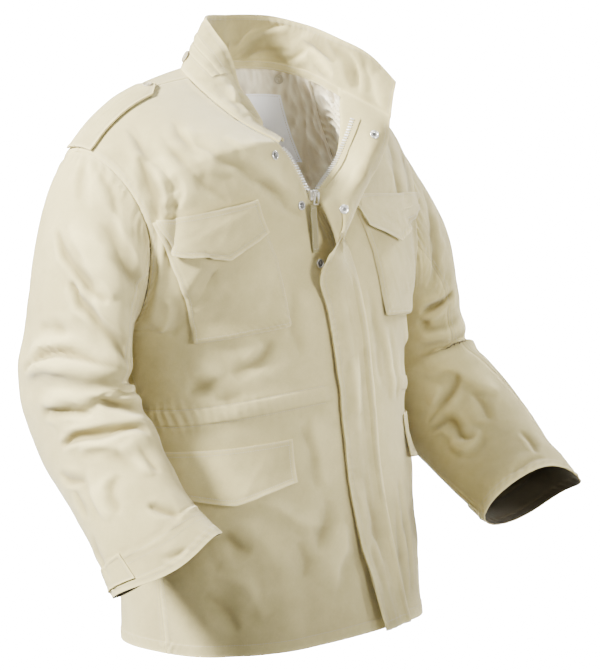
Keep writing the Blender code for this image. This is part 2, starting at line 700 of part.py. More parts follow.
def flap_point(fronts, at, out):
    """A point of the flap's middle surface: 'out' is 0 at its seam and 1 at its free edge."""
    right, left = fronts
    half = TRIM_WALL
    z = ZIP_LINE.place(at)[2] if at > ZIP_START else LEFT_OPEN.place(at)[2]
    set_back = FLAP_SET_BACK * smoothstep((at - ZIP_START) / 0.10)
    root = left.laid(set_back, z, half + LAY_GAP)
    closed_amount = smoothstep((at - FLAP_FROM) / (FLAP_CLOSED - FLAP_FROM))
    over = FLAP_WIDTH * out - set_back - 2 * ZIP_HALF
    if over > 0:
        closed = right.laid(over, z, half + LAY_GAP + FLAP_CLEAR * min(over / 0.02, 1))
    else:
        closed = left.laid(max(set_back - FLAP_WIDTH * out, 0), z, half + LAY_GAP * 2)
    flare = 0.010 * smoothstep((at - 0.78) / 0.22) * out
    closed = closed + np.array([0.4, -1, 0]) * flare
    edge = FLAP_OPEN.place(at)
    bow = np.array([-0.004, -0.014, 0.004]) * smoothstep((at - 0.12) / 0.06) * 4 * out * (1 - out)
    top_row = FLAP_ROWS[0]
    neck = NECK.place(NECK_FRONT[LEFT] + (1 - NECK_FRONT[LEFT]) * out) - np.array([0, 0, 0.0024])
    straight = LEFT_OPEN.place(top_row) * (1 - out) + FLAP_OPEN.place(top_row) * out
    lapel = root * (1 - out) + edge * out + bow
    lapel = lapel + (neck - straight) * (1 - smoothstep((at - top_row) / 0.05))
    return lapel * (1 - closed_amount) + closed * closed_amount


def build_flap(fronts):
    grid = np.array([[flap_point(fronts, at, out) for out in np.linspace(0, 1, FLAP_COLUMNS)]
                     for at in FLAP_ROWS])
    normals = grid_normals(grid, np.array([0, 0, 0]))
    if normals[-3, 2][1] > 0:
        normals = -normals
    wall("storm_flap", grid + normals * TRIM_WALL, grid - normals * TRIM_WALL, SHELL)
    return Cloth(grid, normals)


# ---------------------------------------------------------------- pockets
# Top middle across from the zip and its height, tilt, width, length and depth of the flap.
CHEST_POCKET = {RIGHT: (0.156, -0.162, 7.0), LEFT: (0.134, -0.160, -5.0)}
LOWER_POCKET = {RIGHT: (0.222, -0.468, 4.0), LEFT: (0.172, -0.462, -2.0)}
CHEST_BAG = SimpleNamespace(width=0.133, length=0.161, bulge=0.006)
CHEST_FLAP = SimpleNamespace(width=0.136, side=0.043, point=0.063)
CHEST_FLAP_TILT = {RIGHT: 10.5, LEFT: -5.0}
# The left front is the narrower one, so its lower flap is too.
LOWER_FLAP = {RIGHT: SimpleNamespace(width=0.180, side=0.056, point=0.072),
              LEFT: SimpleNamespace(width=0.148, side=0.056, point=0.070)}
POCKET_LIFT = 0.0006
BAG_TOP = 0.004         # the bag starts this far below its flap's seam
FLAP_ABOVE = 0.002      # the flap's seam lies this far above the pocket's place
FLAP_STANDS = 0.004     # how far a flap's lower edge stands off the pocket


def pocket_place(place, s, t):
    """Across and height of a pocket's own place, s to the side and t down from its top middle."""
    across, z, tilt = place
    angle = math.radians(tilt)
    return (across + s * math.cos(angle) + t * math.sin(angle),
            z - t * math.cos(angle) - s * math.sin(abs(angle)))


def bag_lift(s, t):
    """How far the pocket's bag stands off the front."""
    side = 1 - (2 * abs(s) / CHEST_BAG.width)**4
    down = 1 - (2 * abs(t / CHEST_BAG.length - 0.5))**4
    return POCKET_LIFT + CHEST_BAG.bulge * max(side, 0) * max(down, 0)


def build_bag(name, panel, place):
    rows = [[panel.laid(*pocket_place(place, s, t), bag_lift(s, t))
             for s in np.linspace(-0.5, 0.5, 9) * CHEST_BAG.width]
            for t in np.linspace(BAG_TOP, CHEST_BAG.length, 9)]
    return plate(name, np.array(rows), TRIM_WALL, SHELL, np.array([0, -1, 0]),
                 surface((panel.grid, panel.normals)))


def build_pocket_flap(name, panel, place, size, lift, *bags):
    """A flap with a pointed lower edge, its tip standing a little off what it covers."""
    rows = []
    for down in np.linspace(0, 1, 6):
        row = []
        for s in np.linspace(-0.5, 0.5, 9) * size.width:
            length = size.side + (size.point - size.side) * (1 - 2 * abs(s) / size.width)
            t = down * length
            row.append(panel.laid(*pocket_place(place, s, t - FLAP_ABOVE),
                                  lift(s, t) + FLAP_STANDS * down**2))
        rows.append(row)
    below = surface((panel.grid, panel.normals), *bags)
    plate(name, np.array(rows), TRIM_WALL, SHELL, np.array([0, -1, 0]), below)


def chest_flap_lift(s, t):
    inside = min(max(s, -CHEST_BAG.width / 2), CHEST_BAG.width / 2)
    return bag_lift(inside, max(t, BAG_TOP)) + TRIM_WALL + LAY_GAP


def lower_flap_lift(s, t):
    return POCKET_LIFT


# ---------------------------------------------------------------- shoulder straps and cuff tabs
STRAP = SimpleNamespace(start=0.30, end=0.985, half=0.024, point=0.020, lift=LAY_GAP)


def shoulder_point(front, back_half, along, across, lift):
    """A place on the shoulder, 'along' its seam from the neck and 'across' it to the front."""
    panel = front if across >= 0 else back_half
    column = along * (panel.grid.shape[1] - 1)
    line = np.array([panel.mix(panel.grid, r, column) for r in range(4)])
    lengths = np.concatenate([[0], np.cumsum(np.linalg.norm(np.diff(line, axis=0), axis=1))])
    return panel.lifted(np.interp(abs(across), lengths, np.arange(4)), column, lift)


def build_strap(name, front, back_half):
    rows = []
    for along in np.linspace(0, 1, 9):
        row = []
        for across in np.linspace(-1, 1, 7):
            reach = STRAP.start + STRAP.point / 0.19 * abs(across)
            place = STRAP.end + (reach - STRAP.end) * along
            width = STRAP.half * (1 - 0.10 * along)
            row.append(shoulder_point(front, back_half, place, across * width, STRAP.lift))
        rows.append(row)
    below = surface((front.grid, front.normals), (back_half.grid, back_half.normals))
    return Cloth(*plate(name, np.array(rows), 2 * TRIM_WALL, SHELL, np.array([0, 0, 1]), below))


CUFF_TAB = SimpleNamespace(rows=(-1.35, -0.35), start=0.5, end=5.0, lift=LAY_GAP)


def build_cuff_tab(name, sleeve):
    last = sleeve.grid.shape[0] - 1
    rows = [[sleeve.lifted(last + r, c, CUFF_TAB.lift) for c in np.linspace(CUFF_TAB.start, CUFF_TAB.end, 8)]
            for r in np.linspace(*CUFF_TAB.rows, 3)]
    centre = sleeve.grid[-1].mean(axis=0)
    rows = np.array(rows)
    plate(name, rows, TRIM_WALL, SHELL, rows.mean(axis=(0, 1)) - centre,
          surface((sleeve.grid, sleeve.normals)))


# ---------------------------------------------------------------- inside of the neck
LINER_TOP, LINER_SPLIT, LINER_END = 0.30, 0.765, 0.855
LINER_LOW = Table("at x y z",
                  (0.30, -0.190, -0.020, -0.215),
                  (0.45, -0.135, 0.090, -0.225),
                  (0.55, -0.002, 0.116, -0.235),
                  (0.65, 0.118, 0.094, -0.225),
                  (0.73, 0.185, 0.040, -0.215),
                  (0.80, 0.178, -0.045, -0.205),
                  (0.86, 0.125, -0.092, -0.200))
LINER_INSET = 0.0055    # from the neck seam to the top of the lining
LINER_SAG = 0.010
LINER_GATHERS = SimpleNamespace(count=22, depth=0.0022)
LABEL = SimpleNamespace(across=(0.575, 0.672), down=(0.16, 0.57), lean=0.07, out=0.0016, thick=0.0006)
LINER_BUTTON = (0.672, 0.065)
LINER_JOIN = 0.001      # between the two liner pieces, along the neck seam


def liner_point(at, down, pleats=0.0):
    """A point of the satin liner that hangs inside the neck."""
    inward = liner_inward(at)
    top = NECK.place(at) + inward * LINER_INSET + np.array([0, 0, -0.004])
    low = LINER_LOW.place(at)
    sag = inward * LINER_SAG * math.sin(math.pi * down)
    wave = inward * pleats * math.sin(down * math.pi)**0.5 if down > 0 else 0
    return top * (1 - down) + low * down + sag + wave


def seated(grid, inward, shell):
    """A lining sheet whose top edge is brought to the shell and whose rows stay clear of it."""
    grid = grid.copy()
    for column in range(grid.shape[1]):
        near, normal, _, _ = shell.find_nearest(Vector(grid[0, column]))
        grid[0, column] = np.array(near + normal * LAY_GAP)
    return settled(grid, inward, shell)


def build_liner(panels):
    """The gathered satin at the back of the neck and down the left side, with its label."""
    def gathers(at):
        return LINER_GATHERS.depth * math.sin(2 * math.pi * LINER_GATHERS.count * at)

    shell = surface(*((panel.grid - panel.normals * WALL, -panel.normals) for panel in panels))
    back = np.array([[liner_point(at, down, gathers(at))
                      for at in np.linspace(LINER_TOP, LINER_SPLIT, 43)] for down in (0, 0.1, 0.35, 0.7, 1)])
    side = np.array([[liner_point(at, down) + np.array([-0.003 * math.sin(down * 40), 0, 0])
                      for at in np.linspace(LINER_SPLIT + LINER_JOIN, LINER_END, 5)]
                     for down in np.linspace(0, 1, 25)])
    faces = []
    for name, grid in (("liner_back", back), ("liner_left", side)):
        normals = grid_normals(grid, np.array([0, 0, 0]))
        if np.sum(normals * (grid * np.array([1, 1, 0]))) > 0:
            normals = -normals
        grid = seated(grid, normals, shell)
        wall(name, grid, grid + normals * LINER_WALL, SATIN)
        faces.append((grid + normals * LINER_WALL, normals))
    below = surface(faces[0])
    label = np.array([[label_point(at, down) for at in np.linspace(*LABEL.across, 5)]
                      for down in np.linspace(*LABEL.down, 5)])
    plate("label", label, LABEL.thick, LABEL_CLOTH, np.array([0, -1, 0]), below)
    at, down = LINER_BUTTON
    normal = liner_inward(at)
    centre = liner_point(at, down) + normal * LABEL.out
    near, _, _, _ = below.find_nearest(Vector(centre))
    standing_disc("liner_button", np.array(near), normal, below, SMALL_BUTTON, BUTTON, 0.4)


def label_point(at, down):
    """A point of the label, which leans to the wearer's left down the lining."""
    at = at + LABEL.lean * (down - LABEL.down[0])
    return liner_point(at, down) + liner_inward(at) * LABEL.out


def liner_inward(at):
    along = unit((NECK.place(at + 0.01) - NECK.place(at - 0.01)) * np.array([1, 1, 0]))
    return np.array([along[1], -along[0], 0])


# ---------------------------------------------------------------- zip
ZIP_DEEP = 0.0016
ZIP_INSET = 0.0014      # from a front's edge to the chain beside it
ZIP_TOP = 0.15
ZIP_ON_LAPEL = Table("at out", (0.15, 0.28), (0.20, 0.19), (0.235, 0.05), (0.25, 0.0))


def build_zip(fronts, flap):
    """Each half of the chain runs along its front's edge; the left one lies on the lapel at the top."""
    places = np.concatenate([np.linspace(ZIP_TOP, ZIP_START, 7), np.linspace(ZIP_START, 0.985, 13)[1:]])
    for side, word in ((RIGHT, "right"), (LEFT, "left")):
        rows = []
        for at in places:
            edge = front_edge(side, at)
            towards = np.array([-side, 0, 0]) * (ZIP_HALF - 0.0006)
            if side == LEFT and at < ZIP_START - 0.001:
                row = np.interp(at, FLAP_ROWS, np.arange(len(FLAP_ROWS)))
                column = ZIP_ON_LAPEL.row(at).out * (FLAP_COLUMNS - 1)
                start = flap.lifted(row, column, -TRIM_WALL - 0.0006)
                end = flap.lifted(row, column + 0.35, -TRIM_WALL - 0.0006)
                rows.append([end, start])
                continue
            start = edge + unit(towards) * ZIP_INSET + np.array([0, 0.0019, 0])
            rows.append([start, start + towards - unit(towards) * ZIP_INSET])
        rows = np.array(rows)
        if side == LEFT:
            face = surface((flap.grid - flap.normals * TRIM_WALL, -flap.normals))
            lying = sum(places < ZIP_START - 0.001)
            normals = grid_normals(rows, np.array([0, -1, 0]))
            rows[:lying + 1] = settled(rows[:lying + 1], normals[:lying + 1], face)
        plate("zip_" + word, rows, ZIP_DEEP, METAL, np.array([0, -1, 0]))


# ---------------------------------------------------------------- small hard pieces
def disc(name, centre, normal, radius, depth, material, hollow=0.0):
    """A round button or stud: a turned profile standing on the cloth."""
    profile = [(radius * 0.86, 0), (radius, depth * 0.35), (radius * 0.94, depth), (radius * 0.62, depth),
               (radius * 0.50, depth * (1 - hollow))]
    sides = 12
    normal = unit(np.asarray(normal, float))
    u = unit(np.cross(normal, np.array([0.2, 0.1, 1.0])))
    v = np.cross(normal, u)
    points = []
    for r, h in profile:
        for i in range(sides):
            a = 2 * math.pi * i / sides
            points.append(centre + (u * math.cos(a) + v * math.sin(a)) * r + normal * h)
    faces = [tuple(range(sides))[::-1], tuple(range(len(points) - sides, len(points)))]
    for ring in range(len(profile) - 1):
        for i in range(sides):
            j = (i + 1) % sides
            a, b = ring * sides, (ring + 1) * sides
            faces.append((a + i, a + j, b + j, b + i))
    return solid(name, np.array(points), faces, material)


STUD = SimpleNamespace(radius=0.0058, depth=0.0024)
BUTTON_SIZE = SimpleNamespace(radius=0.0085, depth=0.0030)
SMALL_BUTTON = SimpleNamespace(radius=0.0065, depth=0.0026)
# Studs on the right front: across from its edge, and height.
STUDS = ((0.026, -0.094), (0.022, -0.160), (0.034, -0.238), (0.034, -0.560))
# Sockets on the folded-back face of the flap: place down it and out from its seam.
SOCKETS = ((0.172, 0.62), (0.262, 0.55))


def standing_disc(name, centre, normal, below, size, material, hollow=0.0):
    """A disc raised until its whole face stands clear of what lies below it."""
    u = unit(np.cross(normal, np.array([0.2, 0.1, 1.0])))
    v = np.cross(normal, u)
    around = [centre + (u * math.cos(a) + v * math.sin(a)) * size.radius * share
              for a in np.linspace(0, 2 * math.pi, 13)[:-1] for share in (0, 0.35, 0.7, 1)]
    lack = -1.0
    for point in around:
        near, face_normal, _, _ = below.find_nearest(Vector(point))
        lack = max(lack, LAY_GAP - (Vector(point) - near).dot(face_normal))
    return disc(name, centre + normal * lack, normal, size.radius, size.depth, material, hollow)


def placed_disc(name, cloth, row, column, lift, size, material, facing=1, hollow=0.0):
    """A disc on one face of a cloth: its outer face, or with facing -1 the other one."""
    normal = unit(cloth.mix(cloth.normals, row, column)) * facing
    centre = cloth.lifted(row, column, lift * facing)
    below = surface((cloth.grid + cloth.normals * lift * facing, cloth.normals * facing))
    return standing_disc(name, centre, normal, below, size, material, hollow)


def build_fasteners(fronts, collar, flap, straps):
    right = fronts[0]
    for number, (across, z) in enumerate(STUDS, 1):
        placed_disc("stud_%d" % number, right, *right.find(across, z), 0.0, STUD, METAL, hollow=0.5)
    for number, (at, out) in enumerate(SOCKETS, 1):
        row = np.interp(at, FLAP_ROWS, np.arange(len(FLAP_ROWS)))
        placed_disc("socket_%d" % number, flap, row, out * (FLAP_COLUMNS - 1), TRIM_WALL, STUD,
                    METAL, facing=-1, hollow=0.5)
    places = collar_places()
    for word, at in (("right", 0.425), ("left", 0.675)):
        column = np.interp(at, places, np.arange(len(places)))
        placed_disc("collar_button_" + word, collar, 0.95, column, 0.0, BUTTON_SIZE, BUTTON, hollow=0.4)
    for word, strap in zip(("right", "left"), straps):
        placed_disc("strap_button_" + word, strap, 7.2, 3, 0.0, SMALL_BUTTON, BUTTON, hollow=0.4)


# ---------------------------------------------------------------- zip slider and its pull
SLIDER = SimpleNamespace(top=0.0110, bottom=0.0080, height=0.0135, depth=0.0050)
BRIDGE = SimpleNamespace(half=0.0013, thick=0.0010, above=0.0022, below=0.0045, open=0.0040)
PULL = SimpleNamespace(half=0.0045, length=0.0150, bar=0.0014, half_open=0.0028, tilt=5.0)
RIBBON = SimpleNamespace(half=0.0055, length=0.061, thick=0.0016)
PULL_CLEAR = 0.0030     # from the front of the jacket to the hanging pull


def prism(name, outline, axis, start, end, material, collection=None):
    """A solid with a flat outline in the two other directions, from start to end along an axis."""
    points = []
    for depth in (start, end):
        for a, b in outline:
            point = [a, b]
            point.insert(axis, depth)
            points.append(point)
    count = len(outline)
    faces = [tuple(range(count))[::-1], tuple(range(count, 2 * count))]
    for i in range(count):
        j = (i + 1) % count
        faces.append((i, j, j + count, i + count))
    return solid(name, np.array(points), faces, material, collection)


def pull_pivot(right):
    """The axis the pull swings on, far enough out for it to hang clear of the cloth."""
    x, y, z = ZIP_LINE.place(ZIP_START)
    face = y - SLIDER.depth
    pivot_z = z + SLIDER.height / 2 - 0.0042
    hang = np.linspace(pivot_z - 0.01, pivot_z - PULL.length - RIBBON.length, 10)
    cloth = min(right.laid(across, h, 0)[1] for h in hang for across in (0.0, 0.008, 0.016))
    return np.array([x, min(face - BRIDGE.open / 2, cloth - PULL_CLEAR), pivot_z])


def build_slider(pivot):
    """The zip slider, widest at its top, with the bridge that holds the pull."""
    x, y, z = ZIP_LINE.place(ZIP_START)
    high, low = z + SLIDER.height / 2, z - SLIDER.height / 2
    top, bottom = SLIDER.top / 2, SLIDER.bottom / 2
    outline = [(x - bottom, low), (x + bottom, low), (x + top, z + 0.001), (x + top, high - 0.002),
               (x + top * 0.6, high), (x - top * 0.6, high), (x - top, high - 0.002), (x - top, z + 0.001)]
    front = y - SLIDER.depth
    slider = prism("zip_slider", outline, 1, front, y - 0.0004, METAL)
    clear = BRIDGE.open / 2
    out, up, down = pivot[1] - clear, pivot[2] + BRIDGE.above, pivot[2] - BRIDGE.below
    root = front + 0.0006
    arch = [(root, up), (out - BRIDGE.thick, up), (out - BRIDGE.thick, down), (root, down),
            (root, down + BRIDGE.thick), (out, down + BRIDGE.thick), (out, up - BRIDGE.thick),
            (root, up - BRIDGE.thick)]
    bridge = prism("bridge", arch, 0, x - BRIDGE.half, x + BRIDGE.half, METAL, CUTTERS)
    bridge.hide_render = True
    bridge.display_type = "WIRE"
    joined = slider.modifiers.new("bridge", "BOOLEAN")
    joined.operation = "UNION"
    joined.solver = "EXACT"
    joined.object = bridge


def build_pull(pivot):
    """The metal frame that swings on the bridge, and the doubled strip of cloth sewn to it."""
    bar, half, long = PULL.bar, PULL.half, PULL.length
    outer = [(-half, bar / 2), (half, bar / 2), (half, -long), (-half, -long)]
    inner = [(-PULL.half_open, -bar / 2), (PULL.half_open, -bar / 2), (PULL.half_open, bar - long),
             (-PULL.half_open, bar - long)]
    points = [(a, depth, b) for depth in (-bar / 2, bar / 2) for a, b in outer + inner]
    faces = []
    for i in range(4):
        j = (i + 1) % 4
        faces += [(i, j, j + 4, i + 4), (i + 8, i + 12, j + 12, j + 8), (i, i + 8, j + 8, j),
                  (i + 4, j + 4, j + 12, i + 12)]
    frame = solid("zip_pull_frame", hung(np.array(points)), faces, METAL)
    top, low = -long - SEAM_GAP, -long - SEAM_GAP - RIBBON.length
    strip = [[(a, RIBBON.thick / 2, top + (low - top) * down) for a in (-RIBBON.half, 0, RIBBON.half)]
             for down in np.linspace(0, 1, 6)]
    strip = hung(np.array(strip))
    across = np.array([0, RIBBON.thick, 0])
    ribbon = wall("zip_pull_ribbon", strip - across, strip, SHELL)
    for obj in (frame, ribbon):
        obj.location = tuple(pivot)


def hung(points):
    """Points of the pull, turned in its own plane to the slant it hangs at."""
    tilt = math.radians(PULL.tilt)
    x, z = points[..., 0], points[..., 2]
    return np.stack([x * math.cos(tilt) + z * math.sin(tilt), points[..., 1],
                     z * math.cos(tilt) - x * math.sin(tilt)], axis=-1)


# ================================================================ the whole jacket
for leftover in list(bpy.data.objects):
    bpy.data.objects.remove(leftover)
PARTS = bpy.data.collections.new("field_jacket")
CUTTERS = bpy.data.collections.new("cutters")
bpy.context.scene.collection.children.link(PARTS)
bpy.context.scene.collection.children.link(CUTTERS)
SHELL = paint("khaki_cloth", (0.62, 0.56, 0.42), 0.85)
SATIN = paint("satin_lining", (0.60, 0.54, 0.42), 0.45)
LABEL_CLOTH = paint("label_cloth", (0.80, 0.78, 0.84), 0.7)
METAL = paint("nickel", (0.75, 0.74, 0.72), 0.3, 1.0)
BUTTON = paint("button_plastic", (0.50, 0.45, 0.33), 0.5)


def build_jacket():
    panels = build_shell()
    fronts = panels["front_right"], panels["front_left"]
    halves = panels["back_half_right"], panels["back_half_left"]
    collar = build_collar()
    flap = build_flap(fronts)
    build_liner([*fronts, *halves])
    build_zip(fronts, flap)
    straps = []
    for side, word, panel, half in zip((RIGHT, LEFT), ("right", "left"), fronts, halves):
        bag = build_bag("chest_pocket_" + word, panel, CHEST_POCKET[side])
        flap_place = (*CHEST_POCKET[side][:2], CHEST_FLAP_TILT[side])
        build_pocket_flap("chest_flap_" + word, panel, flap_place, CHEST_FLAP, chest_flap_lift, bag)
        build_pocket_flap("lower_flap_" + word, panel, LOWER_POCKET[side], LOWER_FLAP[side], lower_flap_lift)
        straps.append(build_strap("shoulder_strap_" + word, panel, half))
        build_cuff_tab("cuff_tab_" + word, panels["sleeve_upper_" + word])
    build_fasteners(fronts, collar, flap, straps)
    pivot = pull_pivot(fronts[0])
    build_slider(pivot)
    build_pull(pivot)


build_jacket()
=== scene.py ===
"""Field jacket: sewn cloth, lining, zip and fastenings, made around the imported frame.

Metres, +Z up. The front faces -Y and +X is the wearer's left. The form of every cloth piece
comes from the same tables and seams as its solid, so neighbouring pieces meet along one line.
"""
import math
from functools import partial
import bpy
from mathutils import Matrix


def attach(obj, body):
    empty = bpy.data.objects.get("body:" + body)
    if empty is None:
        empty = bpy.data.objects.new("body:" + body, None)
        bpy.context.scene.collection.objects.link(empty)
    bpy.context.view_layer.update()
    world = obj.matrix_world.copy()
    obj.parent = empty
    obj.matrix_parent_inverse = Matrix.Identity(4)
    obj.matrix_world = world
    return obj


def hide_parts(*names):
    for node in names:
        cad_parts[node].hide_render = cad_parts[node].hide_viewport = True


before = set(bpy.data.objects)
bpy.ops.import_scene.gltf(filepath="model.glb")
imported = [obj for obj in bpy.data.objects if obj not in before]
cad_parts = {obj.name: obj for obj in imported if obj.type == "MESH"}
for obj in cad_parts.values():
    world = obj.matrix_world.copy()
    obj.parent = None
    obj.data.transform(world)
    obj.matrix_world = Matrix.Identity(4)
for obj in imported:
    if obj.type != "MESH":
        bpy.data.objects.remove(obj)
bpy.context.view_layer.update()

from types import SimpleNamespace

import bpy
import numpy as np
from mathutils import Matrix, Vector

bl_info = {
    "name": "Field jacket",
    "version": (1, 0, 0),
    "blender": (4, 5, 0),
    "location": "View3D > Sidebar > Jacket",
    "description": "Cloth, lining, zip and fastenings of a field jacket in worn form",
    "category": "Add Mesh",
}

# ---------------------------------------------------------------- cloth and seams
WALL = 0.0018
COLLAR_WALL = 0.0026
TRIM_WALL = 0.0014
LINER_WALL = 0.0012
LAY_GAP = 0.0004
RIGHT, LEFT = -1, 1


class Table:
    """Rows of named columns, read anywhere between them along a smooth curve."""

    def __init__(self, columns, *rows):
        self.columns = columns.split()
        self.rows = np.array(rows, float)
        self.knots = self.rows[:, 0]
        self.slopes = np.gradient(self.rows, self.knots, axis=0)

    def values(self, at):
        at = np.clip(at, self.knots[0], self.knots[-1])
        i = np.clip(np.searchsorted(self.knots, at, side="right") - 1, 0, len(self.knots) - 2)
        span = np.asarray(self.knots[i + 1] - self.knots[i])[..., None]
        t = np.asarray(at - self.knots[i])[..., None] / span
        return ((2 * t**3 - 3 * t**2 + 1) * self.rows[i] + (3 * t**2 - 2 * t**3) * self.rows[i + 1]
                + span * ((t**3 - 2 * t**2 + t) * self.slopes[i] + (t**3 - t**2) * self.slopes[i + 1]))

    def row(self, at):
        return SimpleNamespace(**dict(zip(self.columns, np.moveaxis(self.values(at), -1, 0))))

    def place(self, at):
        return self.values(at)[..., 1:4]


# ---------------------------------------------------------------- the form of the body
NECK = Table("at x y z",
             (0.00, -0.062, -0.118, -0.079), (0.12, -0.092, -0.085, -0.056),
             (0.24, -0.105, -0.040, -0.029), (0.36, -0.103, 0.015, 0.000),
             (0.45, -0.078, 0.058, 0.012), (0.55, 0.000, 0.084, 0.014),
             (0.65, 0.074, 0.060, 0.011), (0.73, 0.096, 0.020, 0.002),
             (0.86, 0.090, -0.060, -0.018), (1.00, 0.121, -0.130, -0.054))
NECK_SHOULDER = {RIGHT: 0.36, LEFT: 0.73}
NECK_NAPE = 0.55
NECK_FRONT = {RIGHT: 0.0, LEFT: 0.86}
BODY = Table("z half_width middle turn",
             (-0.760, 0.207, -0.014, 13), (-0.550, 0.219, -0.009, 10), (-0.430, 0.218, -0.004, 8),
             (-0.315, 0.226, 0.008, 4), (-0.150, 0.232, 0.010, 1), (0.020, 0.232, 0.010, 0))
SIDE_HEM = -0.740
SHOULDER_RISE = 0.044
FULLNESS = 0.64
ZIP_LINE = Table("at x y z",
                 (0.24, -0.011, -0.122, -0.148), (0.33, 0.026, -0.130, -0.215),
                 (0.44, 0.053, -0.137, -0.305), (0.58, 0.066, -0.141, -0.410),
                 (0.74, 0.074, -0.152, -0.535), (0.88, 0.087, -0.166, -0.640),
                 (1.00, 0.102, -0.178, -0.725))
RIGHT_OPEN = Table("at x y z", (0.14, -0.062, -0.118, -0.079), (0.19, -0.037, -0.117, -0.106),
                   (0.24, -0.015, -0.120, -0.146))
LEFT_OPEN = Table("at x y z", (0.14, 0.090, -0.060, -0.018), (0.17, 0.074, -0.085, -0.062),
                  (0.205, 0.046, -0.105, -0.108), (0.24, -0.006, -0.121, -0.146))
BACK_LINE = Table("at x y z",
                  (0.105, 0.000, 0.084, 0.014), (0.20, 0.000, 0.116, -0.065),
                  (0.34, -0.002, 0.134, -0.175), (0.44, -0.005, 0.136, -0.270),
                  (0.58, -0.012, 0.128, -0.400), (0.74, -0.020, 0.128, -0.530),
                  (0.88, -0.027, 0.137, -0.656), (1.00, -0.032, 0.146, -0.755))
NECK_END = 0.14
NAPE_ROW = 0.105
UNDERARM = 0.42
ZIP_START = 0.24
ARM_ROWS = (0, 0.035, 0.07, NAPE_ROW, 0.14, 0.172, 0.206, ZIP_START, 0.285, 0.33, 0.375, UNDERARM)
BODY_ROWS = 10
PLAIN_ROWS = np.concatenate([ARM_ROWS, np.linspace(UNDERARM, 1, BODY_ROWS + 1)[1:]])
PLAIN_COLUMNS = np.linspace(0, 1, 11)
ZIP_HALF = 0.0048
ARMHOLE = {
    RIGHT: SimpleNamespace(top=-0.088, bottom=-0.318, front=-0.074, back=0.096,
                           x_top=0.272, x_middle=0.238, x_bottom=0.232, set_back=0.020),
    LEFT: SimpleNamespace(top=-0.092, bottom=-0.318, front=-0.072, back=0.096,
                          x_top=0.247, x_middle=0.221, x_bottom=0.226, set_back=0.022),
}
BODY_FOLDS = (
    (RIGHT, 1, 0.86, 0.20, 0.05, 0.13, 0.25, 0.007),
    (RIGHT, 1, 0.75, 0.16, 0.05, 0.10, 0.40, -0.005),
    (RIGHT, 1, 0.60, 0.72, 0.16, 0.05, 0.0, 0.006),
    (RIGHT, 1, 0.45, 0.90, 0.08, 0.14, 0.05, 0.006),
    (RIGHT, 1, 0.70, 0.90, 0.07, 0.14, 0.00, -0.006),
    (LEFT, 1, 0.86, 0.22, 0.05, 0.13, 0.25, 0.007),
    (LEFT, 1, 0.55, 0.72, 0.16, 0.05, 0.0, 0.006),
    (LEFT, 1, 0.50, 0.88, 0.08, 0.14, 0.0, 0.006),
    (RIGHT, -1, 0.80, 0.30, 0.06, 0.16, 0.20, 0.008),
    (LEFT, -1, 0.80, 0.30, 0.06, 0.16, 0.20, 0.008),
    (RIGHT, -1, 0.45, 0.86, 0.09, 0.16, 0.0, 0.007),
    (LEFT, -1, 0.45, 0.86, 0.09, 0.16, 0.0, 0.007),
)
WAIST = SimpleNamespace(at=0.575, half=0.020, raise_=0.004)

# ---------------------------------------------------------------- the form of the sleeves
SLEEVE = {
    RIGHT: Table("at x y z out fore roll",
                 (0.30, -0.287, 0.008, -0.250, 0.047, 0.086, 0),
                 (0.42, -0.290, 0.012, -0.326, 0.049, 0.096, 0),
                 (0.50, -0.291, 0.020, -0.384, 0.052, 0.101, 0),
                 (0.58, -0.286, 0.002, -0.428, 0.049, 0.091, 8),
                 (0.75, -0.284, -0.058, -0.494, 0.045, 0.076, 25),
                 (0.88, -0.284, -0.108, -0.549, 0.041, 0.070, 36),
                 (1.00, -0.276, -0.148, -0.592, 0.036, 0.079, 43)),
    LEFT: Table("at x y z out fore roll",
                (0.30, 0.280, 0.010, -0.250, 0.043, 0.082, 0),
                (0.42, 0.292, 0.014, -0.330, 0.050, 0.092, 0),
                (0.50, 0.304, 0.018, -0.393, 0.055, 0.095, 0),
                (0.60, 0.308, -0.020, -0.441, 0.056, 0.088, 10),
                (0.75, 0.312, -0.092, -0.495, 0.053, 0.080, 32),
                (0.88, 0.311, -0.152, -0.537, 0.050, 0.074, 50),
                (1.00, 0.310, -0.205, -0.571, 0.046, 0.071, 62)),
}
SLEEVE_START = 0.30
UNDERARM_DROP = 0.16
SLEEVE_FOLDS = {
    RIGHT: ((0.500, 70, 85, 0.020, -0.010), (0.465, 60, 90, 0.018, 0.006), (0.585, 110, 60, 0.020, -0.005),
            (0.660, 120, 60, 0.022, -0.005), (0.770, 70, 60, 0.025, -0.004), (0.400, 40, 50, 0.028, -0.005)),
    LEFT: ((0.520, 80, 80, 0.024, -0.007), (0.470, 70, 80, 0.022, 0.004), (0.430, 80, 60, 0.024, -0.004),
           (0.610, 100, 60, 0.024, -0.005), (0.900, 60, 60, 0.018, -0.004)),
}
HAND_GUARD = {RIGHT: ((95, 38, 0.010), (10, 55, 0.028)), LEFT: ((95, 38, 0.026),)}
SEAM_ANGLE = 180 * ZIP_START / UNDERARM
PLAIN_SLEEVE_ROWS = np.concatenate([np.linspace(0, 1, 5), 1 + np.linspace(0, 1, 13)[1:]])
HALF_ANGLES = np.array(ARM_ROWS[:8]) * 180 / UNDERARM
PLAIN_SLEEVE_ANGLES = np.concatenate([-HALF_ANGLES[:0:-1], HALF_ANGLES])


# ================================================================ geometry of the shell
def unit(vector):
    return vector / np.maximum(np.linalg.norm(vector, axis=-1, keepdims=True), 1e-12)


def smoothstep(x):
    x = np.clip(x, 0.0, 1.0)
    return x * x * (3 - 2 * x)


def bell(x):
    return np.exp(-x**2)


def turned(x, y, degrees):
    angle = math.radians(degrees)
    return x * math.cos(angle) - y * math.sin(angle), x * math.sin(angle) + y * math.cos(angle)


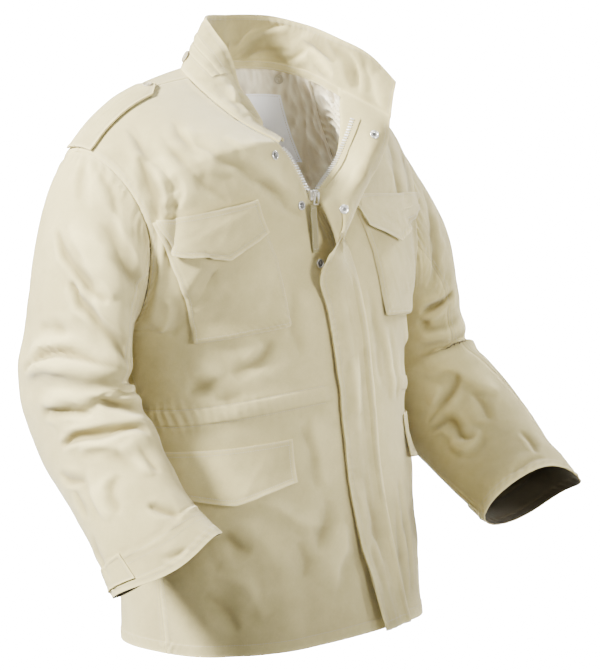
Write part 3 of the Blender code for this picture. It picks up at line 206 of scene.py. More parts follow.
def armhole(side, angle):
    """Points of the armhole seam: 0 at the shoulder, 90 in front, 180 under the arm."""
    a = np.radians(angle)
    hole = ARMHOLE[side]
    up, forward = np.cos(a), np.sin(a)
    middle, half = (hole.front + hole.back) / 2, (hole.back - hole.front) / 2
    x = (hole.x_middle + (hole.x_top - hole.x_middle) * np.maximum(up, 0)**1.5
         + (hole.x_bottom - hole.x_middle) * np.maximum(-up, 0)**2)
    y = middle - half * np.sign(forward) * np.abs(forward)**0.85 + hole.set_back * np.maximum(up, 0)**2
    z = (hole.top + hole.bottom) / 2 + (hole.top - hole.bottom) / 2 * up
    return np.stack(np.broadcast_arrays(side * x, y, z), axis=-1)


def side_seam(side, down):
    def body_side(z):
        section = BODY.row(z)
        x, y = turned(side * section.half_width, 0, section.turn)
        return np.array([x, y + section.middle, z])
    start = armhole(side, 180)
    z = start[2] + (SIDE_HEM - start[2]) * down
    return body_side(z) + (start - body_side(start[2])) * (1 - down)**3


def side_edge(side, face, at):
    if at <= UNDERARM:
        return armhole(side, face * 180 * at / UNDERARM)
    return side_seam(side, (at - UNDERARM) / (1 - UNDERARM))


def front_edge(side, at):
    """Inner edge of a front: the neck seam, then the open edge, then the zip."""
    if at <= NECK_END:
        start = NECK_SHOULDER[side]
        return NECK.place(start + (NECK_FRONT[side] - start) * at / NECK_END)
    if at <= ZIP_START:
        return (RIGHT_OPEN if side == RIGHT else LEFT_OPEN).place(at)
    return ZIP_LINE.place(at) + np.array([side * ZIP_HALF, 0, 0])


def back_edge(side, at):
    if at <= NAPE_ROW:
        start = NECK_SHOULDER[side]
        return NECK.place(start + (NECK_NAPE - start) * at / NAPE_ROW)
    return BACK_LINE.place(at)


def right_roll(at):
    """How far the right front swells forward before it turns in to the open zip."""
    return 0.026 * smoothstep((at - 0.04) / 0.10) * (1 - smoothstep((at - 0.20) / 0.12))


def panel_row(side, face, at, across):
    """Points of one row of a body panel, from its inner edge to its side edge."""
    inner = front_edge(side, at) if face == 1 else back_edge(side, at)
    outer = side_edge(side, face, at)
    turn = BODY.row((inner[2] + outer[2]) / 2).turn
    sideways = np.array([*turned(side, 0, turn), 0])
    forwards = np.array([*turned(0, -face, turn), 0])
    straight = (outer - inner) / 3
    round_in = sideways * abs(np.dot(outer - inner, sideways)) * FULLNESS
    round_out = forwards * abs(np.dot(outer - inner, forwards)) * FULLNESS
    amount = smoothstep(at / (UNDERARM * 0.8))
    rise = SHOULDER_RISE * (1 - amount)
    handle_in = straight * (1 - amount) + round_in * amount + np.array([0, 0, rise * 0.5])
    handle_out = -straight * (1 - amount) + round_out * amount + np.array([0, 0, rise])
    if face == 1 and side == RIGHT:
        handle_in = handle_in + np.array([0, -1, 0.2]) * right_roll(at)
    t = np.asarray(across)[:, None]
    return ((1 - t)**3 * inner + 3 * (1 - t)**2 * t * (inner + handle_in)
            + 3 * (1 - t) * t**2 * (outer + handle_out) + t**3 * outer)


def body_relief(side, face, across, at):
    """Height of the broad folds over a row of a panel's smooth form."""
    across_edge = np.sin(np.pi * across) if face == 1 else np.cos(across * np.pi / 2)
    edge = np.maximum(across_edge, 0)**0.6 * smoothstep(at / 0.08)
    height = 0.0
    for fold_side, fold_face, u, v, half_u, half_v, slant, depth in BODY_FOLDS:
        if (fold_side, fold_face) == (side, face):
            dv = at - v
            height = height + depth * np.exp(-((across - u - slant * dv) / half_u)**2 - (dv / half_v)**2)
    return edge * (height + WAIST.raise_ * math.exp(-((at - WAIST.at) / WAIST.half)**2))


def grid_normals(grid, outward, closed=False):
    """Unit normals of a grid of points, turned to the side that 'outward' points to."""
    if closed:
        grid = np.concatenate([grid[:, -2:-1], grid, grid[:, 1:2]], axis=1)
    normals = unit(np.cross(np.gradient(grid, axis=0), np.gradient(grid, axis=1)))
    if closed:
        normals = normals[:, 1:-1]
    return normals if np.sum(normals * outward) > 0 else -normals


def panel_grid(side, face, rows, columns):
    grid = np.array([panel_row(side, face, at, columns) for at in rows])
    normals = grid_normals(grid, np.array([0, -face, 0]))
    relief = np.array([body_relief(side, face, columns, at) for at in rows])
    return grid + normals * relief[:, :, None]


def wrap(degrees):
    return (degrees + 180) % 360 - 180


def sleeve_start(angle):
    return SLEEVE_START + UNDERARM_DROP * (1 - np.cos(np.radians(angle))) / 2


def sleeve_point(side, at, angle):
    """Points of the sleeve's rings: angle 0 on the outside, 90 in front, 180 by the body."""
    table = SLEEVE[side]
    step = 0.09
    centre = table.place(at)
    section = table.row(at)
    along = unit(table.place(np.minimum(at + step, 1)) - table.place(np.maximum(at - step, SLEEVE_START)))
    out = np.array([side, 0.0, 0.0])
    out = unit(out - along * (along @ out)[..., None])
    fore = np.cross(along, out) * side
    roll = (np.radians(section.roll) * side)[..., None]
    long_axis = fore * np.cos(roll) + out * np.sin(roll)
    short_axis = out * np.cos(roll) - fore * np.sin(roll)
    a = np.radians(angle)
    depth = sum(fold[4] * np.exp(-((at - fold[0]) / fold[3])**2 - (wrap(angle - fold[1]) / fold[2])**2)
                for fold in SLEEVE_FOLDS[side])
    guard = sum(reach * np.exp(-(wrap(angle - middle) / half)**2) for middle, half, reach in HAND_GUARD[side])
    guard = guard * smoothstep((at - 0.86) / 0.14)
    return (centre + short_axis * ((section.out + depth) * np.cos(a))[..., None]
            + long_axis * ((section.fore + depth) * np.sin(a))[..., None] + along * guard[..., None])


def sleeve_cap(side, angle, t):
    """Between the armhole, t = 0, and the first full ring, t = 1."""
    start = armhole(side, angle)
    end = sleeve_point(side, sleeve_start(angle), angle)
    a = np.radians(angle)
    under = np.maximum(-np.cos(a), 0)
    outward = unit(np.stack([side * (0.62 - 0.06 * np.cos(a)), -0.10 * np.sin(a),
                             0.35 * under - 0.70], axis=-1))
    reach = np.linalg.norm(end - start, axis=-1, keepdims=True)
    arrive = np.array([side * 0.08, 0, -1.0]) * reach
    t = np.asarray(t)[..., None]
    return ((2 * t**3 - 3 * t**2 + 1) * start + (t**3 - 2 * t**2 + t) * outward * reach * 1.05
            + (3 * t**2 - 2 * t**3) * end + (t**3 - t**2) * arrive)


def sleeve_place(side, angle, t):
    """Points of a sleeve: t runs from 0 at the armhole over 1 at the first ring to 2 at the cuff."""
    angle, t = np.broadcast_arrays(np.asarray(angle, float), np.asarray(t, float))
    start = sleeve_start(angle)
    rings = sleeve_point(side, start + (1 - start) * np.maximum(t - 1, 0), angle)
    cap = sleeve_cap(side, angle, np.minimum(t, 1))
    return np.where((t <= 1)[..., None], cap, rings)


# ================================================================ folds, seams and crumple
def ripple(points, size, seed):
    """Uneven waves about as long as 'size', between about -1 and 1."""
    draw = np.random.default_rng(seed)
    total = np.zeros(points.shape[:-1])
    for _ in range(9):
        direction = draw.normal(size=3)
        direction /= np.linalg.norm(direction)
        wave = 2 * math.pi / (size * draw.uniform(0.6, 1.8))
        total += np.sin(points @ direction * wave + draw.uniform(0, 2 * math.pi))
    return total / 3


def crumple(points, amount, seed):
    """Height of the soft creases that washing leaves all over."""
    large = 0.45 - np.abs(ripple(points, 0.075, seed))
    small = 0.45 - np.abs(ripple(points, 0.026, seed + 1))
    return amount * (large + 0.36 * small + 0.5 * ripple(points, 0.12, seed + 2))


def crease_shape(x, depth):
    """Section of a crease; x is 0 at its line and grows downwards. Valleys are sharp, with lips."""
    if depth < 0:
        lips = 0.30 * np.exp(-(x - 2.3)**2 / 1.3) + 0.20 * np.exp(-(x + 2.6)**2 / 2.0)
        return np.exp(-np.abs(x)**1.25) - lips
    above = np.exp(-(np.abs(x) / 2.8)**1.3)
    below = np.exp(-(np.abs(x) / 0.85)**1.7) - 0.30 * np.exp(-(x - 2.1)**2 / 1.2)
    return np.where(x > 0, below, above)


def crease_height(points, normals, where, crease, seed):
    """Height of one crease: half width and depth in mm, then its places across and down."""
    half, depth = crease[0] / 1000, crease[1] / 1000
    places = np.array(crease[2:], float).reshape(-1, 2)
    line = Table("step across down", *np.column_stack([np.linspace(0, 1, len(places)), places]))
    count = 41
    samples = line.values(np.linspace(0, 1, count))[:, 1:]
    curve = where(samples[:, 0], samples[:, 1])
    tangents = unit(np.gradient(curve, axis=0))
    length = np.sum(np.linalg.norm(np.diff(curve, axis=0), axis=1))
    height = np.zeros(points.shape[:-1])
    reach = 8 * half
    near = np.all((points > curve.min(axis=0) - reach) & (points < curve.max(axis=0) + reach), axis=-1)
    if not near.any():
        return height
    p, n = points[near], normals[near]
    gaps = np.linalg.norm(p[:, None] - curve[None], axis=2)
    k = np.argmin(gaps, axis=1)
    offset = p - curve[k]
    along = np.sum(offset * tangents[k], axis=1)
    sideways = unit(np.cross(tangents[k], n))
    sideways = sideways * np.where(np.sum(sideways[:, 2]) > 0, -1, 1)
    beside = np.sum(offset * sideways, axis=1)
    share = k / (count - 1) + along / length
    taper = np.clip(4 * share * (1 - share), 0, 1)**0.6
    width = half * (0.5 + 0.5 * taper) * (1 + 0.15 * ripple(p, 0.03, seed))
    x = (beside + 0.35 * half * ripple(p, 0.05, seed + 7)) / width
    fade = 1 - smoothstep((gaps[np.arange(len(k)), k] / reach - 0.7) / 0.3)
    height[near] = depth * crease_shape(x, depth) * taper * (1 + 0.25 * ripple(p, 0.04, seed + 3)) * fade
    return height


def creased(height, points, normals, where, creases, seed, share=1.0):
    """The height with all creases of a panel added."""
    for number, crease in enumerate(creases):
        height = height + crease_height(points, normals, where, crease, seed + number) * share
    return height


def eased(height, deepest=0.0075):
    """The summed creases, held back so that no fold cuts into itself."""
    return deepest * np.tanh(height / deepest)


def relaxed(points, weight, passes):
    """Rows drawn evenly apart where a tight bend has crowded them."""
    points = points.copy()
    for _ in range(passes):
        points[1:-1] += 0.5 * weight[1:-1, :, None] * ((points[:-2] + points[2:]) / 2 - points[1:-1])
    return points


def edge_lengths(grid):
    """How far each point lies from the four edges of its grid, along the cloth."""
    def summed(axis):
        steps = np.linalg.norm(np.diff(grid, axis=axis), axis=2)
        return np.insert(np.cumsum(steps, axis=axis), 0, 0, axis=axis)
    across, down = summed(1), summed(0)
    return {"first": across, "last": across[:, -1:] - across, "top": down, "bottom": down[-1:] - down}


def nearest_edge(lengths, *edges):
    """How far each point lies from the nearest of some edges, or of all four."""
    return np.minimum.reduce([lengths[edge] for edge in edges or lengths])


def groove(distance, at, deep=0.0005, half=0.0012):
    """The dent along a row of stitches."""
    return -deep * bell((distance - at) / half)


FELL = SimpleNamespace(width=0.0085, raise_=0.0009, notch=0.0011, notch_half=0.0013)


def seam_height(distance, width=FELL.width):
    """A felled seam: a notch at the join, then a raised band as wide as its two stitch rows."""
    notch = groove(distance, 0, FELL.notch, FELL.notch_half)
    band = smoothstep((distance - 0.0008) / 0.0016) * (1 - smoothstep((distance - width) / 0.0022))
    return notch + FELL.raise_ * band


PUCKER = SimpleNamespace(reach=0.011, size=0.0105)


def pucker(distance, along, points, seed, depth=0.0006):
    """Small gathers that run across a stitched edge."""
    waves = np.sin(2 * math.pi * along / PUCKER.size + 2.4 * ripple(points, 0.05, seed))
    strength = 0.65 + 0.5 * ripple(points, 0.09, seed + 4)
    return depth * waves * strength * bell(distance / PUCKER.reach) * smoothstep(distance / 0.003)


def spread(count, length, *near, marks=()):
    """Places from 0 to 1, evenly spaced, with more of them near the ends that carry a seam."""
    places = [np.linspace(0, 1, count), np.asarray(marks, float)]
    close = np.array([0.0012, 0.0026, FELL.width, FELL.width + 0.0026]) / length
    if "start" in near:
        places.append(close)
    if "end" in near:
        places.append(1 - close)
    places = np.unique(np.round(np.concatenate(places), 6))
    keep = np.concatenate([[True], np.diff(places) > 0.0006 / length])
    keep[-1] = True
    return places[keep]


# Creases of each panel: half width, depth, then places across and down it.
FRONT_CREASES = {
    RIGHT: (
        (5, -4, .75, .05, .775, .1, .75, .144), (7, -9, .838, .094, .85, .119, .875, .15, .888, .188),
        (6, 6, .8, .106, .812, .144, .812, .188), (4, 3, .738, .138, .675, .15, .663, .175, .713, .188),
        (4, -3, .788, .156, .688, .163), (4, -3, .85, .175, .713, .181),
        (7, -4, .625, .088, .6, .156, .4, .219),
        (7, -5, .475, .069, .488, .113, .3, .188, .15, .231, .113, .256),
        (8, 4, .475, .088, .45, .15, .225, .219), (9, 4, .275, .113, .225, .169, .062, .244),
        (4, -3, .138, .25, .075, .275), (7, -4, .625, .356, .55, .319, .475, .3),
        (6, 3, .688, .325, .6, .294, .525, .288), (7, -4, .338, .438, .275, .375, .238, .35),
        (8, 5, .763, .312, .75, .425), (9, -5, .5, .513, .363, .494, .3, .469),
        (8, -5, .713, .537, .562, .519), (8, -3, .6, .55, .475, .55), (9, 4, .45, .488, .35, .469),
        (9, 3, .675, .506, .525, .5), (8, -3, .225, .506, .213, .45, .2, .388),
        (10, -4, .35, .812, .325, .85, .35, .875), (10, 4, .15, .794, .175, .85, .25, .906),
        (9, -4, .263, .838, .213, .788, .188, .75), (10, -6, .65, .775, .6, .8, .55, .819),
        (8, 3, .475, .725, .312, .775, .2, .8), (10, 3, .725, .85, .6, .881, .55, .938),
        (10, -4, .775, .881, .7, .913, .675, .956), (8, -3, .263, .619, .225, .669, .225, .731),
        (8, 3, .213, .606, .188, .669, .175, .731),
    ),
    LEFT: (
        (6, -3, .09, .40, .10, .488, .11, .581), (5, -3, .2, .475, .25, .556, .263, .606),
        (6, 3, .163, .469, .188, .556, .2, .606), (6, -4, .188, .744, .213, .856, .15, .944),
        (6, -3, .125, .775, .1, .888, .05, .963), (8, -6, .80, .13, .84, .17, .86, .22),
        (7, -4, .45, .12, .55, .18, .6, .26), (8, 4, .6, .47, .45, .5), (9, -5, .75, .45, .6, .48),
        (9, -4, .5, .80, .6, .86), (10, 4, .7, .76, .6, .9),
    ),
}
BACK_CREASES = {
    RIGHT: (
        (8, -6, .86, .16, .80, .24, .70, .30), (7, -5, .90, .26, .78, .33, .62, .37),
        (8, 4, .83, .14, .74, .22), (9, -4, .2, .2, .35, .27, .5, .3), (9, -5, .75, .46, .55, .5, .35, .49),
        (8, 4, .7, .44, .5, .47), (9, -4, .6, .66, .45, .62), (10, 5, .3, .62, .35, .72, .3, .8),
        (10, -5, .5, .7, .55, .8, .5, .9), (9, -4, .8, .7, .72, .78, .7, .88), (9, -4, .12, .52, .2, .5),
    ),
    LEFT: (
        (8, -5, .84, .18, .76, .25, .66, .29), (7, -5, .88, .28, .75, .36, .58, .39),
        (8, 4, .80, .16, .70, .23), (9, -4, .25, .22, .4, .3, .55, .32), (9, -5, .7, .47, .5, .51, .3, .5),
        (8, 4, .62, .45, .45, .47), (9, -4, .55, .67, .4, .63), (10, 4, .28, .66, .33, .75, .28, .84),
        (10, -5, .48, .72, .52, .82, .46, .92), (9, -4, .78, .68, .7, .76, .68, .9),
    ),
}
SLEEVE_CREASES = {
    RIGHT: (
        (5, -4, 27, .038, 42, .15, 54, .225), (6, 3, 15, .038, 33, .35), (5, -3, 9, .1, 21, .338),
        (5, -9, 3, .625, 18, .788, 48, .913, 66, .9), (7, 6, 15, .55, 42, .713, 72, .825),
        (5, -11, 24, .95, 36, 1.025, 69, 1.05, 105, 1.075), (7, 7, 42, .938, 66, 1, 110, .975),
        (8, -5, 42, .375, 75, .5, 105, .35), (7, 4, 51, .25, 84, .3, 110, .1),
        (7, -4, -12, 1.15, 30, 1.113), (5, -13, -27, 1.238, 6, 1.2, 45, 1.163, 105, 1.113),
        (6, 7, -24, 1.26, 21, 1.223, 60, 1.19, 110, 1.15), (6, 5, -21, 1.2, 15, 1.165, 51, 1.115),
        (5, -6, 45, 1.263, 66, 1.225, 81, 1.335), (5, -10, 48, 1.35, 60, 1.44, 87, 1.48),
        (6, 6, 60, 1.30, 75, 1.39, 105, 1.4), (5, -7, -12, 1.363, 0, 1.363, 33, 1.438),
        (6, 5, -3, 1.338, 27, 1.325, 42, 1.375), (5, -11, -12, 1.475, 3, 1.488, 33, 1.55, 78, 1.575),
        (6, 6, 0, 1.425, 33, 1.5, 81, 1.538), (6, 5, 0, 1.538, 33, 1.613, 69, 1.625),
        (5, -6, 51, 1.638, 57, 1.688, 60, 1.725), (5, 4, 30, 1.625, 39, 1.675, 48, 1.738),
        (5, -6, -36, 1.538, -30, 1.6, -18, 1.65), (5, -5, -33, 1.638, -39, 1.688, -42, 1.738),
        (5, 4, -6, 1.625, -18, 1.725, -18, 1.8), (6, -5, 18, 1.7, 0, 1.738, -6, 1.8),
        (5, -8, 24, 1.825, 33, 1.85, 45, 1.888), (4, -3, 3, 1.95, 15, 1.965, 27, 1.965),
        (4, -3, -48, 1.788, -63, 1.85, -60, 1.94), (8, -6, 170, 1.2, 200, 1.22, 240, 1.2),
        (7, 5, 180, 1.26, 230, 1.27), (7, -6, 160, 1.45, 200, 1.5, 240, 1.48),
        (7, -5, 250, .5, 230, .8, 215, 1.0), (8, -5, 280, .7, 270, .95, 300, 1.1),
        (7, -5, 210, 1.7, 250, 1.72),
    ),
    LEFT: (
        (7, -6, 50, .225, 81, .3, 120, .5), (5, 5, 84, .3, 105, .4, 123, .45),
        (5, -12, 138, .75, 117, .85, 87, 1), (6, 7, 138, .85, 117, .94, 84, 1.06),
        (5, -10, 141, .963, 120, 1.05, 54, 1.15), (6, 5, 141, 1.038, 114, 1.1, 66, 1.19),
        (7, -5, 144, 1.113, 114, 1.175, 87, 1.3), (7, 5, 162, 1.288, 141, 1.363, 138, 1.5, 123, 1.575),
        (5, -7, 141, 1.4, 168, 1.438, 201, 1.45), (7, -4, 150, 1.5, 153, 1.575, 159, 1.663),
        (6, 4, 162, 1.375, 183, 1.4), (6, -6, 210, 1.488, 189, 1.513, 192, 1.625, 183, 1.675),
        (6, 4, 210, 1.625, 198, 1.688, 177, 1.675), (4, -3, 195, 1.95, 174, 1.95, 147, 1.95),
        (5, -4, 144, 1.775, 144, 1.838, 150, 1.913), (7, -6, -20, 1.15, 10, 1.2, 40, 1.22),
        (7, 5, -20, 1.22, 20, 1.28), (6, -6, 0, 1.45, 40, 1.5), (7, -5, 10, .5, 30, .8, 50, .95),
        (7, -5, 240, .9, 270, 1.1, 300, 1.2), (7, -5, 270, 1.4, 300, 1.5),
    ),
}
COLLAR_CREASES = (
    (5, -5, .53, .06, .58, .2, .603, .53, .628, .68, .70, .86), (4, 3, .535, .5, .56, .1),
    (4, -3, .57, .45, .58, .10), (5, -4, .69, .12, .75, .52), (5, -5, .75, .55, .80, .45, .84, .2),
    (5, 4, .73, .7, .80, .66, .85, .5), (6, 4, .83, .92, .873, .7, .895, .15),
    (5, -4, .85, .95, .905, .6, .92, .15), (6, -3, .93, .85, .95, .35, .975, .08),
    (5, 3, .595, .08, .633, .33, .70, .40), (5, -3, .60, .12, .66, .10, .72, .14),
    (6, -3, .2, .3, .26, .6), (5, 3, .12, .7, .2, .55),
)

MAKE = {}       # the sewn panels and their stitch lines, filled as the pieces are made


class Cloth:
    """A sewn panel. Its places are found on its plain form and read from its folded face."""

    def __init__(self, rows, columns, points, normals, height, base=None, plain=None):
        self.rows, self.columns = rows, columns
        self.points, self.normals, self.height = points, normals, height
        self.base = normals if base is None else base       # what the wall is set off along
        self.lengths = edge_lengths(points)
        if plain is not None:
            self.plain = plain
            self.across = edge_lengths(plain)["first"]

    def point(self, at, u, lift=0.0):
        return self.read(self.points, at, u) + unit(self.read(self.normals, at, u)) * lift

    def normal(self, at, u):
        return unit(self.read(self.normals, at, u))

    def read(self, values, at, u):
        """Value of a grid at places between its rows and columns."""
        row = np.interp(at, self.rows, np.arange(len(self.rows)))
        column = np.interp(u, self.columns, np.arange(len(self.columns)))
        r = np.minimum(row.astype(int), len(self.rows) - 2)
        c = np.minimum(column.astype(int), len(self.columns) - 2)
        a, b = np.asarray(row - r)[..., None], np.asarray(column - c)[..., None]
        return ((values[r, c] * (1 - b) + values[r, c + 1] * b) * (1 - a)
                + (values[r + 1, c] * (1 - b) + values[r + 1, c + 1] * b) * a)

    def find(self, across, z):
        """The place that lies 'across' along the cloth from its edge, at a height."""
        count = np.arange(self.plain.shape[1])
        columns = np.array([np.interp(across, lengths, count) for lengths in self.across])
        heights = np.array([np.interp(c, count, line[:, 2]) for c, line in zip(columns, self.plain)])
        row = np.interp(-z, -heights, np.arange(len(heights)))
        column = np.interp(row, np.arange(len(columns)), columns)
        return (np.interp(row, np.arange(len(PLAIN_ROWS)), PLAIN_ROWS),
                np.interp(column, count, PLAIN_COLUMNS))

    def laid(self, across, z, lift):
        return self.point(*self.find(across, z), lift)

    def line(self, edge, offset, start, end):
        """A line along one edge of the sheet, a set distance inside it, with its normals."""
        lengths = self.lengths[edge]
        upright = edge in ("first", "last")
        if not upright:
            lengths = lengths.T
        order = slice(None) if edge in ("first", "top") else slice(None, None, -1)
        steps = self.columns if upright else self.rows
        along = self.rows if upright else self.columns
        keep = (along >= start) & (along <= end)
        found = np.array([np.interp(offset, line[order], steps[order]) for line in lengths[keep]])
        at, u = (along[keep], found) if upright else (found, along[keep])
        return self.point(at, u), self.normal(at, u)


def even_cloth(points, normals, height=None):
    """A small piece, its rows and columns counted from 0 to 1."""
    rows, columns = points.shape[:2]
    return Cloth(np.linspace(0, 1, rows), np.linspace(0, 1, columns), points, normals, height)


def fine_count(length, spacing=None):
    return int(length / (spacing or bpy.context.scene.jacket_sizes.spacing)) + 1


# ================================================================ making a mesh
def active(obj):
    """Makes one object the only selected and active one."""
    bpy.ops.object.select_all(action="DESELECT")
    obj.select_set(True)
    bpy.context.view_layer.objects.active = obj


def added(operator, **settings):
    """The object that an operator adds, as the only selected one."""
    bpy.ops.object.select_all(action="DESELECT")
    operator(**settings)
    return bpy.context.active_object


def linked(name, data):
    """A new object of some data, in the scene."""
    obj = bpy.data.objects.new(name, data)
    bpy.context.scene.collection.objects.link(obj)
    return obj


def joined(objects):
    """Joins meshes into the first of them."""
    bpy.ops.object.select_all(action="DESELECT")
    for obj in objects:
        obj.select_set(True)
    bpy.context.view_layer.objects.active = objects[0]
    bpy.ops.object.join()
    return objects[0]


def outwards(obj):
    """Turns all faces of a mesh outwards."""
    active(obj)
    bpy.ops.object.mode_set(mode="EDIT")
    bpy.ops.mesh.select_all(action="SELECT")
    bpy.ops.mesh.normals_make_consistent(inside=False)
    bpy.ops.object.mode_set(mode="OBJECT")


def applied(obj, kind, **settings):
    """Adds a modifier and applies it."""
    active(obj)
    modifier = obj.modifiers.new(kind.lower(), kind)
    for name, value in settings.items():
        setattr(modifier, name, value)
    bpy.ops.object.modifier_apply(modifier=modifier.name)


def grid_sheet(name, points, normals, values=None):
    """A sheet from a grid primitive whose vertices are moved to their places."""
    rows, columns = points.shape[:2]
    obj = added(bpy.ops.mesh.primitive_grid_add, x_subdivisions=columns - 1, y_subdivisions=rows - 1,
                size=1)
    obj.name = obj.data.name = name
    mesh = obj.data
    mesh.vertices.foreach_set("co", points.reshape(-1))
    corner = np.empty(len(mesh.loops), int)
    mesh.loops.foreach_get("vertex_index", corner)
    layer = mesh.uv_layers[0]
    layer.name = "cloth"
    lengths = edge_lengths(points)
    metres = np.stack([lengths["first"], lengths["top"]], axis=-1)
    layer.data.foreach_set("uv", metres.reshape(-1, 2)[corner].reshape(-1))
    for key, data in (values or {}).items():
        carried = mesh.attributes.new(key, "FLOAT", "POINT")
        carried.data.foreach_set("value", np.ascontiguousarray(data, np.float32).reshape(-1))
    mesh.update()
    faces = np.empty(len(mesh.polygons) * 3)
    mesh.polygons.foreach_get("normal", faces)
    first = np.array([p.vertices[0] for p in mesh.polygons])
    if np.sum(faces.reshape(-1, 3) * normals.reshape(-1, 3)[first]) < 0:
        mesh.flip_normals()
    return obj


def shown(obj, body, slot, *nodes):
    """Gives a finished piece to its body and hides the solids that it stands for; the slot is not used."""
    active(obj)
    bpy.ops.object.shade_smooth_by_angle(angle=math.radians(50))
    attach(obj, body)
    if nodes:
        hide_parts(*nodes)


def sewn(name, points, normals, wall, material, values=None, inner=None):
    """A piece of cloth with a wall: its outer face lies on the points."""
    obj = grid_sheet(name, points, normals, values)
    obj.data.materials.append(material)
    if inner:
        obj.data.materials.append(inner)
    applied(obj, "SOLIDIFY", thickness=wall, offset=-1, use_even_offset=False,
            material_offset=1 if inner else 0)
    outer = points.reshape(-1, 3)
    count = len(outer)
    places = np.empty(len(obj.data.vertices) * 3)
    obj.data.vertices.foreach_get("co", places)
    places = places.reshape(-1, 3)
    half = slice(count, None) if np.abs(places[:count] - outer).max() < 1e-5 else slice(0, count)
    places[half] = outer - normals.reshape(-1, 3) * wall
    obj.data.vertices.foreach_set("co", places.reshape(-1))
    obj.data.update()
    return obj


FULL_FOLD = 0.006


def edge_values(points, height, reach=0.004):
    """What the cloth material reads: the folds' height, for painted shade in valleys and painted highlight on
    ridges, and how near the worn edges are.
    """
    near = nearest_edge(edge_lengths(points))
    return {"fold": np.clip(height / FULL_FOLD, -1, 1), "wear": bell(near / reach)}


# ================================================================ materials
class Wire:
    """A socket of a material; arithmetic with it adds Math nodes."""

    def __init__(self, tree, socket=None):
        self.tree, self.socket = tree, socket

    def node(self, kind, settings=None, inputs=None, output=0):
        made = self.tree.nodes.new(kind)
        for name, value in (settings or {}).items():
            setattr(made, name, value)
        for key, value in (inputs or {}).items():
            if isinstance(value, Wire):
                self.tree.links.new(value.socket, made.inputs[key])
            else:
                made.inputs[key].default_value = value
        return Wire(self.tree, made.outputs[output])

    def maths(self, operation, a, b=0.0):
        return self.node("ShaderNodeMath", {"operation": operation}, {0: a, 1: b})

    def __add__(self, other):
        return self.maths("ADD", self, other)

    __radd__ = __add__

    def __sub__(self, other):
        return self.maths("SUBTRACT", self, other)

    def __rsub__(self, other):
        return self.maths("SUBTRACT", other, self)

    def __mul__(self, other):
        return self.maths("MULTIPLY", self, other)

    __rmul__ = __mul__

    def clamped(self):
        return self.node("ShaderNodeClamp", {}, {0: self})

    def mix(self, a, b):
        """The colour a where this is 0 and b where it is 1."""
        return self.node("ShaderNodeMix", {"data_type": "RGBA"}, {0: self, 6: a, 7: b}, 2)


def new_material(name, **uniform):
    """A material, its shader with the sockets that stay uniform set, and the object's coordinates."""
    material = bpy.data.materials.new(name)
    material.use_nodes = True
    shader = material.node_tree.nodes["Principled BSDF"]
    for key, value in uniform.items():
        shader.inputs[key.replace("_", " ")].default_value = value
    make = Wire(material.node_tree)
    return material, shader, make, make.node("ShaderNodeTexCoord", output="Object")


def plug(shader, **wires):
    for key, wire in wires.items():
        wire.tree.links.new(wire.socket, shader.inputs[key.replace("_", " ")])


def noise(make, place, scale, detail=3.0, rough=0.55, stretch=None):
    if stretch:
        place = make.node("ShaderNodeMapping", {}, {"Vector": place, "Scale": stretch})
    return make.node("ShaderNodeTexNoise", {}, {"Vector": place, "Scale": scale, "Detail": detail,
                                                "Roughness": rough}, "Fac")


def bumped(make, strength, distance, height):
    return make.node("ShaderNodeBump", {}, {"Strength": strength, "Distance": distance, "Height": height})


def attribute(make, name):
    return make.node("ShaderNodeAttribute", {"attribute_name": name}, output="Fac")


def rgb(color, factor=1.0):
    return tuple(min(c * factor, 1.0) for c in color[:3]) + (1.0,)


ACROSS_THREADS, ALONG_THREADS = (2600.0, 180.0, 1.0), (180.0, 2600.0, 1.0)
SATIN_FLOATS = (240.0, 3200.0, 1.0)
WHITE = (1, 1, 1)
# The fold weight is painted light: the fold height paints shade into valleys and highlight onto ridges.
FOLD_PAINTED_SHADE, WEAR_TONE = 0.80, 0.42     # how much folds and worn edges lighten the cloth


def cloth_material(name, color, faded_and_highlight, shade, thread=1100.0):
    """Woven cotton: diagonal threads, slubs, blotches of washing, lightened worn edges, painted shade in the
    valleys of folds and painted highlight on their ridges.
    """
    material, shader, make, place = new_material(name, Sheen_Weight=0.25, Sheen_Roughness=0.5,
                                                 Specular_IOR_Level=0.25)
    uv = make.node("ShaderNodeUVMap", {"uv_map": "cloth"})
    fold, wear = attribute(make, "fold"), attribute(make, "wear")
    blotch = noise(make, place, 9.0, 5.0, 0.6)
    mottle = noise(make, place, 48.0, 4.0, 0.6)
    slub = noise(make, uv, 1.0, 2.0, 0.5, ACROSS_THREADS)
    cross = noise(make, uv, 1.0, 2.0, 0.5, ALONG_THREADS)
    flat = make.node("ShaderNodeSeparateXYZ", {}, {0: uv})
    along = Wire(make.tree, flat.socket.node.outputs[1])
    twill = make.maths("SINE", (flat + along * 0.6) * (2 * math.pi * thread))
    # The fold term is painted shade in the valleys of the folds and painted highlight on their ridges;
    # blotches, mottle and worn edges are the cloth's own tone.
    light = 0.56 + (blotch - 0.5) * 0.7 + (mottle - 0.5) * 0.35 + fold * FOLD_PAINTED_SHADE + wear * WEAR_TONE
    threads = (0.5 + (slub - 0.5) * 0.9 + (cross - 0.5) * 0.9).clamped()
    broad = light.clamped().mix(rgb(shade), rgb(faded_and_highlight))
    woven = threads.mix(rgb(color, 0.86), rgb(color, 1.14))
    blended = make.node("ShaderNodeMix", {"data_type": "RGBA", "blend_type": "MULTIPLY"},
                        {0: 1.0, 6: broad, 7: woven}, 2)
    plug(shader, Base_Color=blended, Roughness=0.84 + (blotch - 0.5) * 0.12 + (slub - 0.5) * 0.08,
         Normal=bumped(make, 0.55, 0.00045, twill * 0.25 + slub + cross + mottle * 1.6))
    return material


